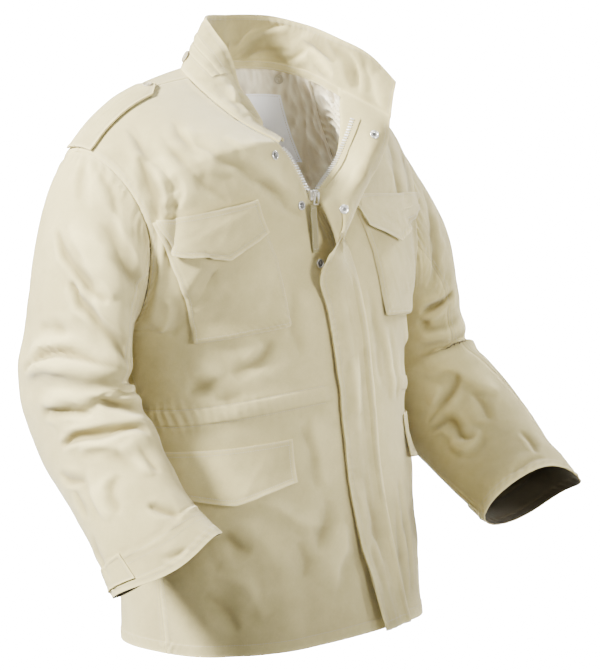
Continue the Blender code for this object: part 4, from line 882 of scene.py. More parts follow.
def satin_material(name, dark, bright):
    """Lining satin: smooth floats one way, soft sheen, slight water marks, painted highlight on the crests of
    the pleats and painted shade in their hollows.
    """
    material, shader, make, place = new_material(name, Sheen_Weight=0.35, Sheen_Roughness=0.35,
                                                 Specular_IOR_Level=0.45)
    uv = make.node("ShaderNodeUVMap", {"uv_map": "cloth"})
    cloud = noise(make, place, 22.0, 4.0, 0.6)
    floats = noise(make, uv, 1.0, 2.0, 0.5, SATIN_FLOATS)
    # The fold term paints highlight on the pleats' crests and shade in their hollows.
    tone = 0.5 + (cloud - 0.5) * 0.9 + (floats - 0.5) * 0.5 + attribute(make, "fold") * 0.6
    plug(shader, Base_Color=tone.clamped().mix(rgb(dark), rgb(bright)),
         Roughness=0.40 + (cloud - 0.5) * 0.2, Normal=bumped(make, 0.4, 0.0002, floats + cloud))
    return material


def grained_material(name, dark, bright, grain, contrast, roughness, swing, scratched=False, **uniform):
    """A hard piece or a thread: one fine grain carries its tone and its gloss, scratches its relief."""
    material, shader, make, place = new_material(name, **uniform)
    film = noise(make, place, *grain)
    tone = (0.5 + (film - 0.5) * contrast).clamped()
    plug(shader, Base_Color=tone.mix(rgb(dark), rgb(bright)), Roughness=roughness + (film - 0.5) * swing)
    if scratched:
        scratch = noise(make, place, 900.0, 2.0, 0.5, (1.0, 1.0, 0.12))
        plug(shader, Normal=bumped(make, 0.25, 0.0001, scratch))
    return material


def metal_material(name, dark, bright, base=0.24):
    """Nickel plate: fine scratches, dulled film in patches."""
    return grained_material(name, dark, bright, (260.0, 4.0, 0.6), 1.4, base, 0.25, True, Metallic=0.55)


def plastic_material(name, dark, bright):
    """Pressed button plastic with a faint swirl."""
    return grained_material(name, dark, bright, (180.0, 4.0, 0.65), 1.5, 0.42, 0.2,
                            Specular_IOR_Level=0.5)


def thread_material(name, color):
    """Twisted thread."""
    return grained_material(name, rgb(color, 0.8), rgb(color, 1.15), (1400.0, 2.0, 0.5), 1.6, 0.7, 0.2,
                            Sheen_Weight=0.3)


def plain_material(name, color, roughness, glow):
    """The floor and the backdrop, lit from behind like a light table."""
    material, shader, make, place = new_material(name, Roughness=roughness, Emission_Strength=glow,
                                                 Emission_Color=(1, 1, 1, 1))
    cloud = noise(make, place, 0.6, 2.0)
    plug(shader, Base_Color=cloud.mix(rgb(color, 0.985), rgb(color, 1.0)))
    return material


def materials():
    """All materials of the jacket, made once."""
    if "materials" not in MAKE:
        look = bpy.context.scene.jacket_colours
        MAKE["materials"] = SimpleNamespace(
            khaki=cloth_material("khaki_sateen", look.khaki, look.faded_and_highlight, look.shade),
            trim=cloth_material("khaki_trim", look.khaki, look.faded_and_highlight, look.shade, thread=1000.0),
            # The sleeve lining's colour is partly painted shade: it is set darker than its olive cotton to
            # stand in for the shade inside the cuffs.
            inside=cloth_material("olive_sleeve_lining", look.lining, WHITE, (0.8, 0.8, 0.8), thread=900.0),
            body_lining=cloth_material("body_lining", look.body_lining, WHITE, (0.85, 0.85, 0.85)),
            satin=satin_material("gathered_satin", look.satin_dark, look.satin),
            label=satin_material("label_tape", rgb(look.label, 0.9), look.label),
            nickel=metal_material("nickel_plate", rgb(look.nickel, 0.72), look.nickel),
            # The dark, rougher plate is painted shade: it darkens the middle of studs and sockets, where the
            # recess lies.
            painted_centre_shade=metal_material("painted_shade_plate", rgb(look.nickel, 0.12), rgb(look.nickel, 0.3), 0.45),
            brass=metal_material("zip_teeth_metal", rgb(look.nickel, 0.62), rgb(look.nickel, 0.92), 0.3),
            button=plastic_material("button_plastic", rgb(look.button, 0.8), look.button),
            thread=thread_material("khaki_thread", look.thread),
            tape=cloth_material("pull_tape", rgb(look.khaki, 0.42), WHITE, (0.8, 0.8, 0.8), thread=1500.0),
        )
    return MAKE["materials"]


# ================================================================ body and sleeves
def body_height(side, face, rows, columns, points, normals):
    """Folds, crumple and seams over one body panel."""
    lengths = edge_lengths(points)

    def where(across, down):
        return np.array([panel_row(side, face, v, [u])[0] for u, v in zip(across, down)])
    creases = (FRONT_CREASES if face == 1 else BACK_CREASES)[side]
    seed = 10 + 20 * (side == LEFT) + 40 * (face == 1)
    height = crumple(points, bpy.context.scene.jacket_sizes.crumple, 5)
    height = eased(creased(height, points, normals, where, creases, seed, BODY_SHARE[face]))
    height = height + waist_channel(rows, columns, points, CHANNEL_START.get((side, face), -1.0))
    fade = smoothstep(lengths["last"] / 0.016) * smoothstep(lengths["top"] / 0.014)
    if face == 1:
        fade = fade * smoothstep(lengths["first"] / 0.010)
    height = height * fade
    below_arm = smoothstep((rows - UNDERARM) / 0.04)[:, None]
    height = height + seam_height(lengths["last"]) * (1 - 0.7 * below_arm)
    height = height + seam_height(lengths["top"], FELL.width * 0.9)
    height = height + pucker(lengths["last"], lengths["top"], points, seed + 60)
    height = height + hem_height(lengths["bottom"], lengths["first"], points, seed + 70)
    if face == 1:
        height = height + seam_height(lengths["first"], 0.006) * 0.6
    return height


BODY_LENGTH = 0.745
BODY_SHARE = {1: 0.95, -1: 0.9}     # the solid's own folds carry the rest of a crease's depth
CHANNEL_START = {(RIGHT, 1): 0.13, (LEFT, 1): 0.30}
CHANNEL = SimpleNamespace(half=0.0105, groove=0.0012, deep=0.0013, raise_=0.0008, gather=0.0007)


def waist_channel(rows, columns, points, start):
    """The drawcord's channel: a flat band between two stitched grooves, gathered across."""
    down = (rows[:, None] - WAIST.at) * BODY_LENGTH
    end = smoothstep((columns[None] - start) / 0.02)
    grooves = sum(bell((down - sign * CHANNEL.half) / CHANNEL.groove) for sign in (-1, 1))
    band = CHANNEL.raise_ * (1 - smoothstep((np.abs(down) - CHANNEL.half) / 0.0016))
    along = edge_lengths(points)["first"]
    gathers = CHANNEL.gather * np.sin(2 * math.pi * along / 0.012 + 2.6 * ripple(points, 0.07, 91))
    gathers = gathers * bell(down / 0.016) * (0.5 + 0.7 * ripple(points, 0.15, 92))
    return (-CHANNEL.deep * grooves + band + gathers) * end


def hem_height(distance, along, points, seed, width=0.016, puckers=0.0006):
    """A turned hem: thicker up to its stitch line, with small slanted puckers over it."""
    fold = 0.0008 * (1 - smoothstep((distance - width) / 0.002))
    slanted = np.sin(2 * math.pi * (along + distance * 0.7) / 0.0125 + 2.0 * ripple(points, 0.08, seed))
    middle = bell((distance - width * 0.6) / (width * 0.55))
    return (fold + groove(distance, width, 0.0006)
            + puckers * slanted * middle * (0.6 + 0.5 * ripple(points, 0.1, seed + 1)))


PANEL_WIDTH = {(RIGHT, 1): 0.338, (LEFT, 1): 0.253, (RIGHT, -1): 0.30, (LEFT, -1): 0.30}
BACK_MESH, SLEEVE_MESH = 1.3, 0.95     # spacing of their points, against the fronts'
HEM = 0.016


def body_marks():
    """Extra rows at the channel's grooves and at the hem's stitch line."""
    steps = np.array([-0.0026, -0.0013, 0.0, 0.0013, 0.0026])
    channel = [WAIST.at + (sign * CHANNEL.half + steps) / BODY_LENGTH for sign in (-1, 1)]
    return np.concatenate([*channel, 1 - (HEM + steps) / BODY_LENGTH])


def body_panel(side, face):
    """One front, or one half of the back, as a sewn panel, with its rows of stitches."""
    key = "panel", side, face
    if key not in MAKE:
        spacing = bpy.context.scene.jacket_sizes.spacing * (1 if face == 1 else BACK_MESH)
        width = PANEL_WIDTH[side, face]
        rows = spread(fine_count(0.78, spacing), 0.78, "start", "end", marks=body_marks())
        columns = spread(fine_count(width, spacing), width, "end", "start" if face == 1 else "")
        points = panel_grid(side, face, rows, columns)
        ridge = bell((rows - UNDERARM) / 0.045)[:, None]
        from_side = smoothstep((edge_lengths(points)["last"] - 0.002) / 0.020)
        points = relaxed(points, ridge * from_side, RIDGE_PASSES)
        normals = grid_normals(points, np.array([0, -face, 0]))
        height = body_height(side, face, rows, columns, points, normals)
        if face == -1:
            normals = centred(normals, rows)
        folded = points + normals * height[:, :, None]
        cloth = Cloth(rows, columns, folded, grid_normals(folded, np.array([0, -face, 0])), height, normals,
                      panel_grid(side, face, PLAIN_ROWS, PLAIN_COLUMNS))
        for start, end in ((0.02, UNDERARM), (UNDERARM, 0.99)):
            sew_edges("body", cloth, "last", SEAM_ROWS, start, end)
        sew_edges("body", cloth, "bottom", (0.0150,), 0.01, 0.99)
        sew_edges("body", cloth, "top", (0.0022, 0.0066), 0.02, 0.98)
        u = columns[columns > CHANNEL_START.get((side, face), -0.01) + 0.01]
        for offset in (-0.0110, 0.0110):
            at = np.full_like(u, WAIST.at + offset / BODY_LENGTH)
            sew("body", (cloth.point(at, u), cloth.normal(at, u)))
        if face == 1:
            sew_edges("body", cloth, "first", (0.0062,), 0.15, 0.99)
        MAKE[key] = cloth
    return MAKE[key]


def centred(normals, rows):
    """The half's normals, straightened at the centre back so that both halves meet there."""
    normals = normals.copy()
    below = rows >= NAPE_ROW - 1e-6
    normals[below, 0] = unit(normals[below, 0] * np.array([0, 1, 1]))
    return normals


def make_front(side, word):
    cloth = body_panel(side, 1)
    look = materials()
    obj = sewn("front_%s_cloth" % word, cloth.points, cloth.base, WALL, look.khaki,
               edge_values(cloth.points, cloth.height), look.body_lining)
    shown(obj, "jacket", "khaki_cloth", "front_" + word)


def make_back():
    """Both halves, joined along the centre back below the nape."""
    halves = []
    for side in (RIGHT, LEFT):
        cloth = body_panel(side, -1)
        halves.append(grid_sheet("back_half", cloth.points, cloth.normals,
                                 edge_values(cloth.points, cloth.height)))
    obj = joined(halves)
    obj.name = obj.data.name = "back_cloth"
    bpy.ops.object.mode_set(mode="EDIT")
    bpy.ops.mesh.select_all(action="SELECT")
    bpy.ops.mesh.remove_doubles(threshold=0.0004)
    bpy.ops.object.mode_set(mode="OBJECT")
    outwards(obj)
    if sum(p.normal.dot(Vector((p.center.x, p.center.y, 0))) for p in obj.data.polygons) < 0:
        obj.data.flip_normals()
    obj.data.materials.append(materials().khaki)
    obj.data.materials.append(materials().body_lining)
    applied(obj, "SOLIDIFY", thickness=WALL, offset=-1, material_offset=1)
    shown(obj, "jacket", "khaki_cloth", "back")


def sleeve_angles():
    """Columns round a sleeve from one seam to the other and on round, and where the under sleeve starts."""
    spacing = bpy.context.scene.jacket_sizes.spacing * SLEEVE_MESH
    upper = spread(fine_count(0.29, spacing), 0.29, "start", "end") * 2 * SEAM_ANGLE - SEAM_ANGLE
    under = spread(fine_count(0.21, spacing), 0.21, "start", "end") * (360 - 2 * SEAM_ANGLE) + SEAM_ANGLE
    return np.concatenate([upper, under[1:]]), len(upper) - 1


def sleeve_cloths(side):
    """Upper and under sleeve, with one run of folds round both."""
    key = "sleeve", side
    if key in MAKE:
        return MAKE[key]
    angles, seam = sleeve_angles()
    sizes = bpy.context.scene.jacket_sizes
    rows = sleeve_rows(sizes.spacing * SLEEVE_MESH)
    points = sleeve_place(side, angles[None], rows[:, None])
    middle = points.mean(axis=1, keepdims=True)
    normals = grid_normals(points, points - middle, closed=True)
    seed = 200 + 60 * (side == LEFT)
    height = creased(crumple(points, sizes.crumple, 8), points, normals, partial(sleeve_place, side),
                     SLEEVE_CREASES[side], seed)
    from_bend = np.abs(wrap(angles[None] - INNER_BEND.angle)) - INNER_BEND.half
    inner_bend = 1 - smoothstep(from_bend / INNER_BEND.soft)
    elbow = elbow_share(side, angles[None], rows[:, None])
    height = eased(height) * (1 - ELBOW_HOLD * elbow * inner_bend)
    lengths = edge_lengths(points)
    height = height * smoothstep(lengths["top"] / 0.020)
    height = height + seam_height(lengths["top"], 0.0) + sleeve_ease(lengths, points, seed + 80)
    from_seam = np.minimum.reduce([lengths["first"], lengths["last"],
                                   np.abs(lengths["first"] - lengths["first"][:, seam:seam + 1])])
    on_upper = (np.arange(len(angles)) <= seam)[None]
    felled = np.where(on_upper, seam_height(from_seam), groove(from_seam, 0, FELL.notch, FELL.notch_half))
    height = height + felled * SLEEVE_FELL[side]
    height = height + pucker(from_seam, lengths["top"], points, seed + 50, depth=0.0005)
    height = closing(height + cuff_height(lengths, points, angles, seed + 90), lengths["first"])
    folded = relaxed(points + normals * height[:, :, None], np.clip(elbow * inner_bend * 1.5, 0, 1),
                     ELBOW_PASSES)
    folded_normals = grid_normals(folded, folded - middle, closed=True)
    MAKE[key] = tuple(Cloth(rows, angles[part], folded[:, part], folded_normals[:, part], height[:, part],
                            normals[:, part]) for part in (slice(None, seam + 1), slice(seam, None)))
    sew_sleeve(np.interp(GUARD_SEAM, lengths["bottom"][::-1, seam // 2], rows[::-1]), *MAKE[key])
    return MAKE[key]


CUFF_HEM = 0.013
GUARD_SEAM = 0.046      # where the hand guard joins the cuff, from the hem
INNER_BEND = SimpleNamespace(angle=95, half=35, soft=40)    # the inside of the elbow, in degrees
ELBOW_HOLD = 0.85       # how much of a crease is held back there
ELBOW_PASSES, RIDGE_PASSES = 16, 60     # rounds of drawing crowded rows apart
SLEEVE_FELL = {RIGHT: 0.8, LEFT: 0.45}
SEAM_ROWS = 0.0022, 0.0072


def sleeve_rows(spacing):
    """Rows down a sleeve, closer at its cap, its hem and the seam of the hand guard."""
    steps = [CUFF_HEM - 0.0012, CUFF_HEM, CUFF_HEM + 0.0012, 0.044, 0.046, 0.048, 0.050]
    marks = 1 - np.array(steps) / 0.37
    return np.concatenate([spread(fine_count(0.165, spacing), 0.165, "start"),
                           1 + spread(fine_count(0.37, spacing), 0.37, "end", marks=marks)[1:]])


def sew_sleeve(band, upper, under):
    """Seam and hem rows, and the two rows of the hand guard, the first of them at 'band'."""
    sew_edges("sleeves", upper, "first last", SEAM_ROWS, 0.03, 1.99)
    for part in (upper, under):
        sew_edges("sleeves", part, "bottom", (CUFF_HEM, CUFF_HEM - 0.006), *part.columns[[1, -2]])
    for shift in (0.0, 0.018):
        at = np.full_like(upper.columns, band + shift)
        sew("sleeves", (upper.point(at, upper.columns), upper.normal(at, upper.columns)))


def elbow_share(side, angle, t):
    """How much of a fold the sleeve's own form already carries there, 0 to 1."""
    start = sleeve_start(angle)
    at = start + (1 - start) * np.maximum(t - 1, 0)
    own = sum(abs(fold[4]) * np.exp(-((at - fold[0]) / fold[3])**2 - (wrap(angle - fold[1]) / fold[2])**2)
              for fold in SLEEVE_FOLDS[side])
    return np.clip(own / 0.0065, 0, 1) * (t > 1)


def closing(height, along):
    """The height with its last column brought to its first, spread over the columns."""
    share = along / along[:, -1:]
    return height + (height[:, :1] - height[:, -1:]) * smoothstep((share - 0.9) / 0.1)


def sleeve_ease(lengths, points, seed):
    """Fullness eased into the armhole seam."""
    distance = lengths["top"]
    waves = np.sin(2 * math.pi * lengths["first"] / 0.017 + 2.5 * ripple(points, 0.06, seed))
    return 0.0012 * waves * smoothstep(distance / 0.004) * bell(distance / 0.020)


def cuff_height(lengths, points, angles, seed):
    """The cuff: its hem, the seam of the hand guard and the stitched rectangle on it."""
    distance = lengths["bottom"]
    height = hem_height(distance, lengths["first"], points, seed, CUFF_HEM, 0.0009)
    ridge = 0.0016 * bell((distance - GUARD_SEAM) / 0.0022) + groove(distance, 0.050, 0.0012, 0.0016)
    front = np.exp(-(wrap(angles - 30) / 75.0)**4)[None]
    return height + ridge * front


def make_sleeve(side, word):
    for kind, cloth in zip(("upper", "under"), sleeve_cloths(side)):
        obj = sewn("sleeve_%s_%s_cloth" % (kind, word), cloth.points, cloth.base, WALL, materials().khaki,
                   edge_values(cloth.points, cloth.height), materials().inside)
        shown(obj, "jacket", "khaki_cloth", "sleeve_%s_%s" % (kind, word))


# ================================================================ stitching
STITCH = SimpleNamespace(pitch=0.0034, length=0.0025, width=0.00062, high=0.00048)


def sew(group, *lines):
    """Keeps stitch lines for the sewing machine."""
    MAKE.setdefault(("lines", group), []).extend(lines)


def sew_edges(group, cloth, edges, offsets, start, end):
    """Stitch rows inside some edges of a piece, at set distances from them."""
    for edge in edges.split():
        for offset in offsets:
            sew(group, cloth.line(edge, offset, start, end))


def stitch_places(path, normals):
    """Middle, direction and normal of each stitch along a line."""
    lengths = np.insert(np.cumsum(np.linalg.norm(np.diff(path, axis=0), axis=1)), 0, 0)
    spots = np.arange(STITCH.pitch / 2, lengths[-1], STITCH.pitch)
    read = [np.stack([np.interp(spots + shift, lengths, path[:, i]) for i in range(3)], axis=1)
            for shift in (-0.0008, 0, 0.0008)]
    out = unit(np.stack([np.interp(spots, lengths, normals[:, i]) for i in range(3)], axis=1))
    along = unit(read[2] - read[0])
    square = unit(out - along * np.sum(out * along, axis=1, keepdims=True))
    return read[1] + out * STITCH.high * 0.25, along, square


def copies(name, shape, centres, along, out):
    """One mesh with a copy of a small shape at every place, turned to its directions; the shape goes."""
    points = np.array([v.co for v in shape.data.vertices], float)
    faces = [tuple(p.vertices) for p in shape.data.polygons]
    beside = np.cross(out, along)
    placed = (centres[:, None] + points[None, :, :1] * along[:, None] + points[None, :, 1:2] * beside[:, None]
              + points[None, :, 2:] * out[:, None])
    count = len(points)
    mesh = bpy.data.meshes.new(name)
    mesh.from_pydata(placed.reshape(-1, 3).tolist(), [],
                     [tuple(i + k * count for i in face) for k in range(len(centres)) for face in faces])
    obj = linked(name, mesh)
    for material in shape.data.materials:
        mesh.materials.append(material)
    bpy.data.objects.remove(shape)
    outwards(obj)
    return obj


def tapered_block(size, ends, material):
    """A small block, narrower and lower at its two ends, as one zip tooth."""
    obj = added(bpy.ops.mesh.primitive_cube_add, size=1)
    bpy.ops.object.mode_set(mode="EDIT")
    bpy.ops.mesh.select_all(action="SELECT")
    bpy.ops.mesh.subdivide(number_cuts=1)
    bpy.ops.object.mode_set(mode="OBJECT")
    for vertex in obj.data.vertices:
        share = abs(vertex.co.x) * 2
        narrow = 1 - (1 - ends) * share
        vertex.co = (vertex.co.x * size[0], vertex.co.y * size[1] * narrow, vertex.co.z * size[2] * narrow)
    obj.data.materials.append(material)
    return obj


def stitch_shape():
    obj = added(bpy.ops.mesh.primitive_cylinder_add, vertices=4, radius=0.5, depth=1,
                end_fill_type="TRIFAN")
    for vertex in obj.data.vertices:
        x, y, z = vertex.co
        tip = math.hypot(x, y) < 1e-6
        vertex.co = (z * STITCH.length * (1.0 if tip else 0.72), x * STITCH.width, y * STITCH.high)
    obj.data.materials.append(materials().thread)
    return obj


def make_stitching(group):
    lines = MAKE.get(("lines", group))
    if not lines:
        raise RuntimeError("make the cloth pieces before the stitching of the " + group)
    found = [stitch_places(path, normals) for path, normals in lines if len(path) > 1]
    obj = copies("stitching_" + group, stitch_shape(), *(np.concatenate(part) for part in zip(*found)))
    shown(obj, "zip_pull" if group == "pull" else "jacket", "khaki_cloth")


# ================================================================ collar
COLLAR = Table("at lean curl height",
               (0.00, 78, 30, 0.050), (0.12, 68, 50, 0.062), (0.24, 52, 75, 0.066), (0.30, 42, 80, 0.068),
               (0.36, 32, 40, 0.066), (0.45, 22, 10, 0.071), (0.55, 18, 4, 0.068), (0.65, 10, 2, 0.066),
               (0.73, 5, 0, 0.065), (0.86, 0, 0, 0.067), (0.95, -6, -8, 0.065), (1.00, -16, -14, 0.050))
COLLAR_LIFT = 0.0006
COLLAR_PIECES = 8


def neck_inward(at):
    along = unit((NECK.place(np.minimum(at + 0.01, 1)) - NECK.place(np.maximum(at - 0.01, 0)))
                 * np.array([1, 1, 0]))
    return np.stack([along[..., 1], -along[..., 0], np.zeros_like(along[..., 0])], axis=-1)


def collar_point(at, up):
    """Points of the collar: 'at' along the neck seam, 'up' from 0 at the seam to 1 at the rim."""
    at, up = np.broadcast_arrays(np.asarray(at, float), np.asarray(up, float))
    inward = neck_inward(at)
    shape = COLLAR.row(at)
    point = NECK.place(at) + np.array([0, 0, COLLAR_LIFT])
    for i in range(COLLAR_PIECES):
        share = np.clip(up * COLLAR_PIECES - i, 0, 1)[..., None]
        lean = np.radians(shape.lean + shape.curl * (i + 0.5) / COLLAR_PIECES)[..., None]
        step_out = inward * np.sin(lean) + np.array([0, 0, 1.0]) * np.cos(lean)
        point = point + step_out * shape.height[..., None] / COLLAR_PIECES * share
    return point


def collar_cloth():
    if "collar" not in MAKE:
        places = spread(fine_count(0.53, 0.0022), 0.53, "start", "end")
        ups = spread(fine_count(0.067, 0.0022), 0.067, "start", "end")
        points = collar_point(places[None], ups[:, None])
        normals = grid_normals(points, points - np.array([0, 0, 0.03]))
        lengths = edge_lengths(points)
        height = creased(crumple(points, 0.0009, 31), points, normals, collar_point, COLLAR_CREASES, 330)
        height = (eased(-1.5 * height, 0.0055) * smoothstep(lengths["bottom"] / 0.010)
                  * smoothstep(lengths["top"] / 0.010))
        height = height + pucker(lengths["bottom"], lengths["first"], points, 351)
        height = height + groove(lengths["bottom"], 0.0062)
        folded = points + normals * (height + COLLAR_WALL)[:, :, None]
        MAKE["collar"] = Cloth(ups, places, folded, normals, height)
    return MAKE["collar"]


def make_collar():
    cloth = collar_cloth()
    obj = sewn("collar_cloth", cloth.points, cloth.normals, COLLAR_WALL, materials().khaki,
               edge_values(cloth.points, cloth.height))
    for edge, low, high in (("bottom", 0.01, 0.99), ("first", 0.05, 0.95), ("last", 0.05, 0.95)):
        path, normals = cloth.line(edge, 0.0062, low, high)
        sew("trim", (path, normals), (path - normals * (COLLAR_WALL + 0.0002), -normals))
    sew("trim", cloth.line("top", 0.0045, 0.01, 0.99))
    shown(obj, "jacket", "khaki_cloth", "collar")


def make_neck_tape():
    """The strip of shell cloth inside the neck seam, over the raw edges of collar, body and lining."""
    at = np.linspace(LINER_TOP, LINER_END, 160)
    inward = neck_inward(at)
    stack = np.array([
        collar_point(at, 0.045) + inward * 0.0002, collar_point(at, 0.03) + inward * 0.0010,
        collar_point(at, 0.01) + inward * 0.0018, NECK.place(at) + inward * 0.0042 - np.array([0, 0, 0.003]),
        liner_point(at, 0.008) + inward * 0.0020, liner_point(at, 0.014) + inward * 0.0016,
        liner_point(at, 0.018) + inward * 0.0006])
    steps = np.linspace(0, len(stack) - 1, 13)
    low = np.clip(steps.astype(int), 0, len(stack) - 2)
    share = (steps - low)[:, None, None]
    points = stack[low] * (1 - share) + stack[low + 1] * share
    normals = grid_normals(points, np.broadcast_to(inward, points.shape))
    height = 0.0006 * ripple(points, 0.02, 361)
    points = points + normals * height[..., None]
    obj = sewn("neck_tape", points, normals, 0.0010, materials().trim, edge_values(points, height, 0.002))
    sew_edges("trim", Cloth(steps, at, points, normals, height), "top bottom", (0.0022,), 0.31, 0.85)
    shown(obj, "jacket", "khaki_cloth")


def make_collar_welt():
    """The closed welt of the hood pocket round the collar's outer face, barred off at its ends."""
    cloth = collar_cloth()
    at = np.linspace(0.30, 0.80, 150)
    wide = np.linspace(-0.075, 0.075, 5)
    for word, shift, seam in (("lower", 0.42, -0.11), ("upper", 0.60, 0.11)):
        arch = 0.0012 * np.cos(np.linspace(-1, 1, 5) * math.pi / 2) + 0.0004
        up = shift + wide[:, None] + 0 * at[None]
        places = at[None] + 0 * up
        points = cloth.point(up, places, 0) + cloth.normal(up, places) * arch[:, None, None]
        normals = grid_normals(points, points - np.array([0, 0, 0.03]))
        obj = sewn("collar_welt_" + word, points, normals, 0.0009, materials().trim,
                   edge_values(points, np.zeros(points.shape[:2]), 0.002))
        shown(obj, "jacket", "khaki_cloth")
        sew("trim", (cloth.point(np.full_like(at, shift + seam), at),
                     cloth.normal(np.full_like(at, shift), at)))
    for at in (0.297, 0.803):
        sew_bar(cloth, at, 0.32, 0.70)


BAR = SimpleNamespace(rows=3, step=0.0016 / 0.47)      # the step in shares of the neck seam


def sew_bar(cloth, at, low, high):
    """A bartack: a few close rows of stitches across the end of an opening."""
    for number in range(BAR.rows):
        up = np.linspace(low, high, 20)
        place = np.full_like(up, at + number * BAR.step)
        sew("trim", (cloth.point(up, place, 0.0003), cloth.normal(up, place)))


# ================================================================ storm flap
FLAP_WIDTH = 0.069
FLAP_SET_BACK = 0.012
FLAP_CLEAR = 0.0035
FLAP_FROM, FLAP_CLOSED = 0.33, 0.43
FLAP_OPEN = Table("at x y z",
                  (0.14, 0.121, -0.133, -0.058), (0.17, 0.113, -0.134, -0.088),
                  (0.205, 0.082, -0.140, -0.125), (0.24, 0.052, -0.147, -0.156),
                  (0.28, 0.024, -0.155, -0.190), (0.33, -0.012, -0.157, -0.228),
                  (0.38, -0.022, -0.153, -0.265), (0.44, -0.018, -0.149, -0.305))
FLAP_TOP = 0.14
FLAP_ROLL = np.array([-0.017, -0.006, 0.0])     # the folded flap bulges over the zip below the slider


def flap_point(at, out):
    """A point of the flap's middle surface: 'out' is 0 at its seam and 1 at its free edge."""
    right, left = body_panel(RIGHT, 1), body_panel(LEFT, 1)
    half = TRIM_WALL
    z = ZIP_LINE.place(at)[2] if at > ZIP_START else LEFT_OPEN.place(at)[2]
    set_back = FLAP_SET_BACK * smoothstep((at - ZIP_START) / 0.10)
    root = left.laid(set_back, z, half + LAY_GAP)
    closed_amount = smoothstep((at - FLAP_FROM) / (FLAP_CLOSED - FLAP_FROM))
    over = FLAP_WIDTH * out - set_back - 2 * ZIP_HALF
    if over > 0:
        closed = right.laid(over, z, half + LAY_GAP + FLAP_CLEAR * min(over / 0.02, 1))
    else:
        closed = left.laid(max(set_back - FLAP_WIDTH * out, 0), z, half + LAY_GAP * 2)
    flare = 0.010 * smoothstep((at - 0.78) / 0.22) * out
    closed = closed + np.array([0.4, -1, 0]) * flare
    edge = FLAP_OPEN.place(at)
    bow = np.array([-0.004, -0.014, 0.004]) * smoothstep((at - 0.12) / 0.06) * 4 * out * (1 - out)
    neck = NECK.place(NECK_FRONT[LEFT] + (1 - NECK_FRONT[LEFT]) * out) + np.array([0, 0, 0.0004])
    straight = LEFT_OPEN.place(FLAP_TOP) * (1 - out) + FLAP_OPEN.place(FLAP_TOP) * out
    rolled = smoothstep((at - 0.236) / 0.02) * (1 - smoothstep((at - 0.33) / 0.06))
    roll = FLAP_ROLL * math.sin(math.pi * min(out / 0.42, 1))**0.8 * rolled
    lapel = root * (1 - out) + edge * out + bow + roll
    lapel = lapel + (neck - straight) * (1 - smoothstep((at - FLAP_TOP) / 0.05))
    return lapel * (1 - closed_amount) + closed * closed_amount


FLAP_CREASES = (
    (8, -3, .75, .155, .7, .2, .72, .24), (8, 3, .4, .17, .45, .22, .5, .27), (7, -3, .5, .30, .6, .34),
    (8, -3, .25, .50, .35, .60, .3, .66), (8, 3, .55, .52, .6, .62), (9, -3, .6, .72, .45, .80, .5, .88),
    (8, 3, .3, .76, .28, .86, .35, .94), (7, -3, .75, .84, .7, .93),
)


def flap_cloth():
    if "flap" not in MAKE:
        outs = spread(fine_count(0.069, 0.0032), 0.069, "start", "end")
        coarse_rows = np.linspace(FLAP_TOP, 1.0, 110)
        rough = np.array([[flap_point(at, out) for out in outs] for at in coarse_rows])
        rows = FLAP_TOP + (1 - FLAP_TOP) * spread(fine_count(0.68), 0.68, "end")
        points = np.stack([[np.interp(rows, coarse_rows, rough[:, c, i]) for c in range(len(outs))]
                           for i in range(3)], axis=-1).transpose(1, 0, 2)
        normals = grid_normals(points, np.array([0, 0, 0]))
        if normals[-30, len(outs) // 2][1] > 0:
            normals = -normals
        lengths = edge_lengths(points)
        spot = Cloth(rows, outs, points, normals, None)
        height = creased(crumple(points, 0.0007, 61), points, normals,
                         lambda across, down: spot.point(down, across), FLAP_CREASES, 400)
        height = height * smoothstep(lengths["first"] / 0.01) * smoothstep(lengths["top"] / 0.01)
        height = height + pucker(lengths["last"], lengths["top"], points, 451, depth=0.0007)
        closed = smoothstep((rows - 0.36) / 0.06)[:, None]
        height = height + 0.0022 * bell((lengths["first"] - 0.006) / 0.003) * closed
        folded = points + normals * (height + TRIM_WALL)[:, :, None]
        MAKE["flap"] = Cloth(rows, outs, folded, normals, height)
    return MAKE["flap"]


def make_storm_flap():
    cloth = flap_cloth()
    obj = sewn("storm_flap_cloth", cloth.points, cloth.normals, 2 * TRIM_WALL, materials().trim,
               edge_values(cloth.points, cloth.height))
    for offset in (0.003, 0.0085):
        path, normals = cloth.line("last", offset, FLAP_TOP + 0.01, 0.995)
        sew("trim", (path, normals), (path - normals * (2 * TRIM_WALL + 0.0002), -normals))
    sew_edges("trim", cloth, "first", (0.004, 0.0095), 0.36, 0.995)
    sew_edges("trim", cloth, "bottom", (0.012,), 0.05, 0.95)
    shown(obj, "jacket", "khaki_cloth", "storm_flap")


# ================================================================ pockets
CHEST_POCKET = {RIGHT: (0.156, -0.162, 7.0), LEFT: (0.134, -0.160, -5.0)}
LOWER_POCKET = {RIGHT: (0.222, -0.468, 4.0), LEFT: (0.172, -0.462, -2.0)}
CHEST_BAG = SimpleNamespace(width=0.133, length=0.161, bulge=0.006)
CHEST_FLAP = {RIGHT: SimpleNamespace(width=0.130, side=0.043, point=0.063),
              LEFT: SimpleNamespace(width=0.124, side=0.043, point=0.063)}
CHEST_FLAP_ACROSS = {RIGHT: 0.153, LEFT: 0.128}
CHEST_FLAP_TILT = {RIGHT: 10.5, LEFT: -5.0}
LOWER_FLAP = {RIGHT: SimpleNamespace(width=0.180, side=0.056, point=0.072),
              LEFT: SimpleNamespace(width=0.148, side=0.056, point=0.070)}
POCKET_LIFT = 0.0006
BAG_EDGE = SimpleNamespace(high=0.0022, wide=0.0020)
BAG_STANDS = SimpleNamespace(high=0.0030, start=0.78)     # its bottom stands off the front
BAG_TOP = 0.004
FLAP_ABOVE = 0.002
FLAP_STANDS = 0.0060


def pocket_place(place, s, t):
    across, z, tilt = place
    angle = math.radians(tilt)
    return (across + s * math.cos(angle) + t * math.sin(angle),
            z - t * math.cos(angle) - s * math.sin(abs(angle)))


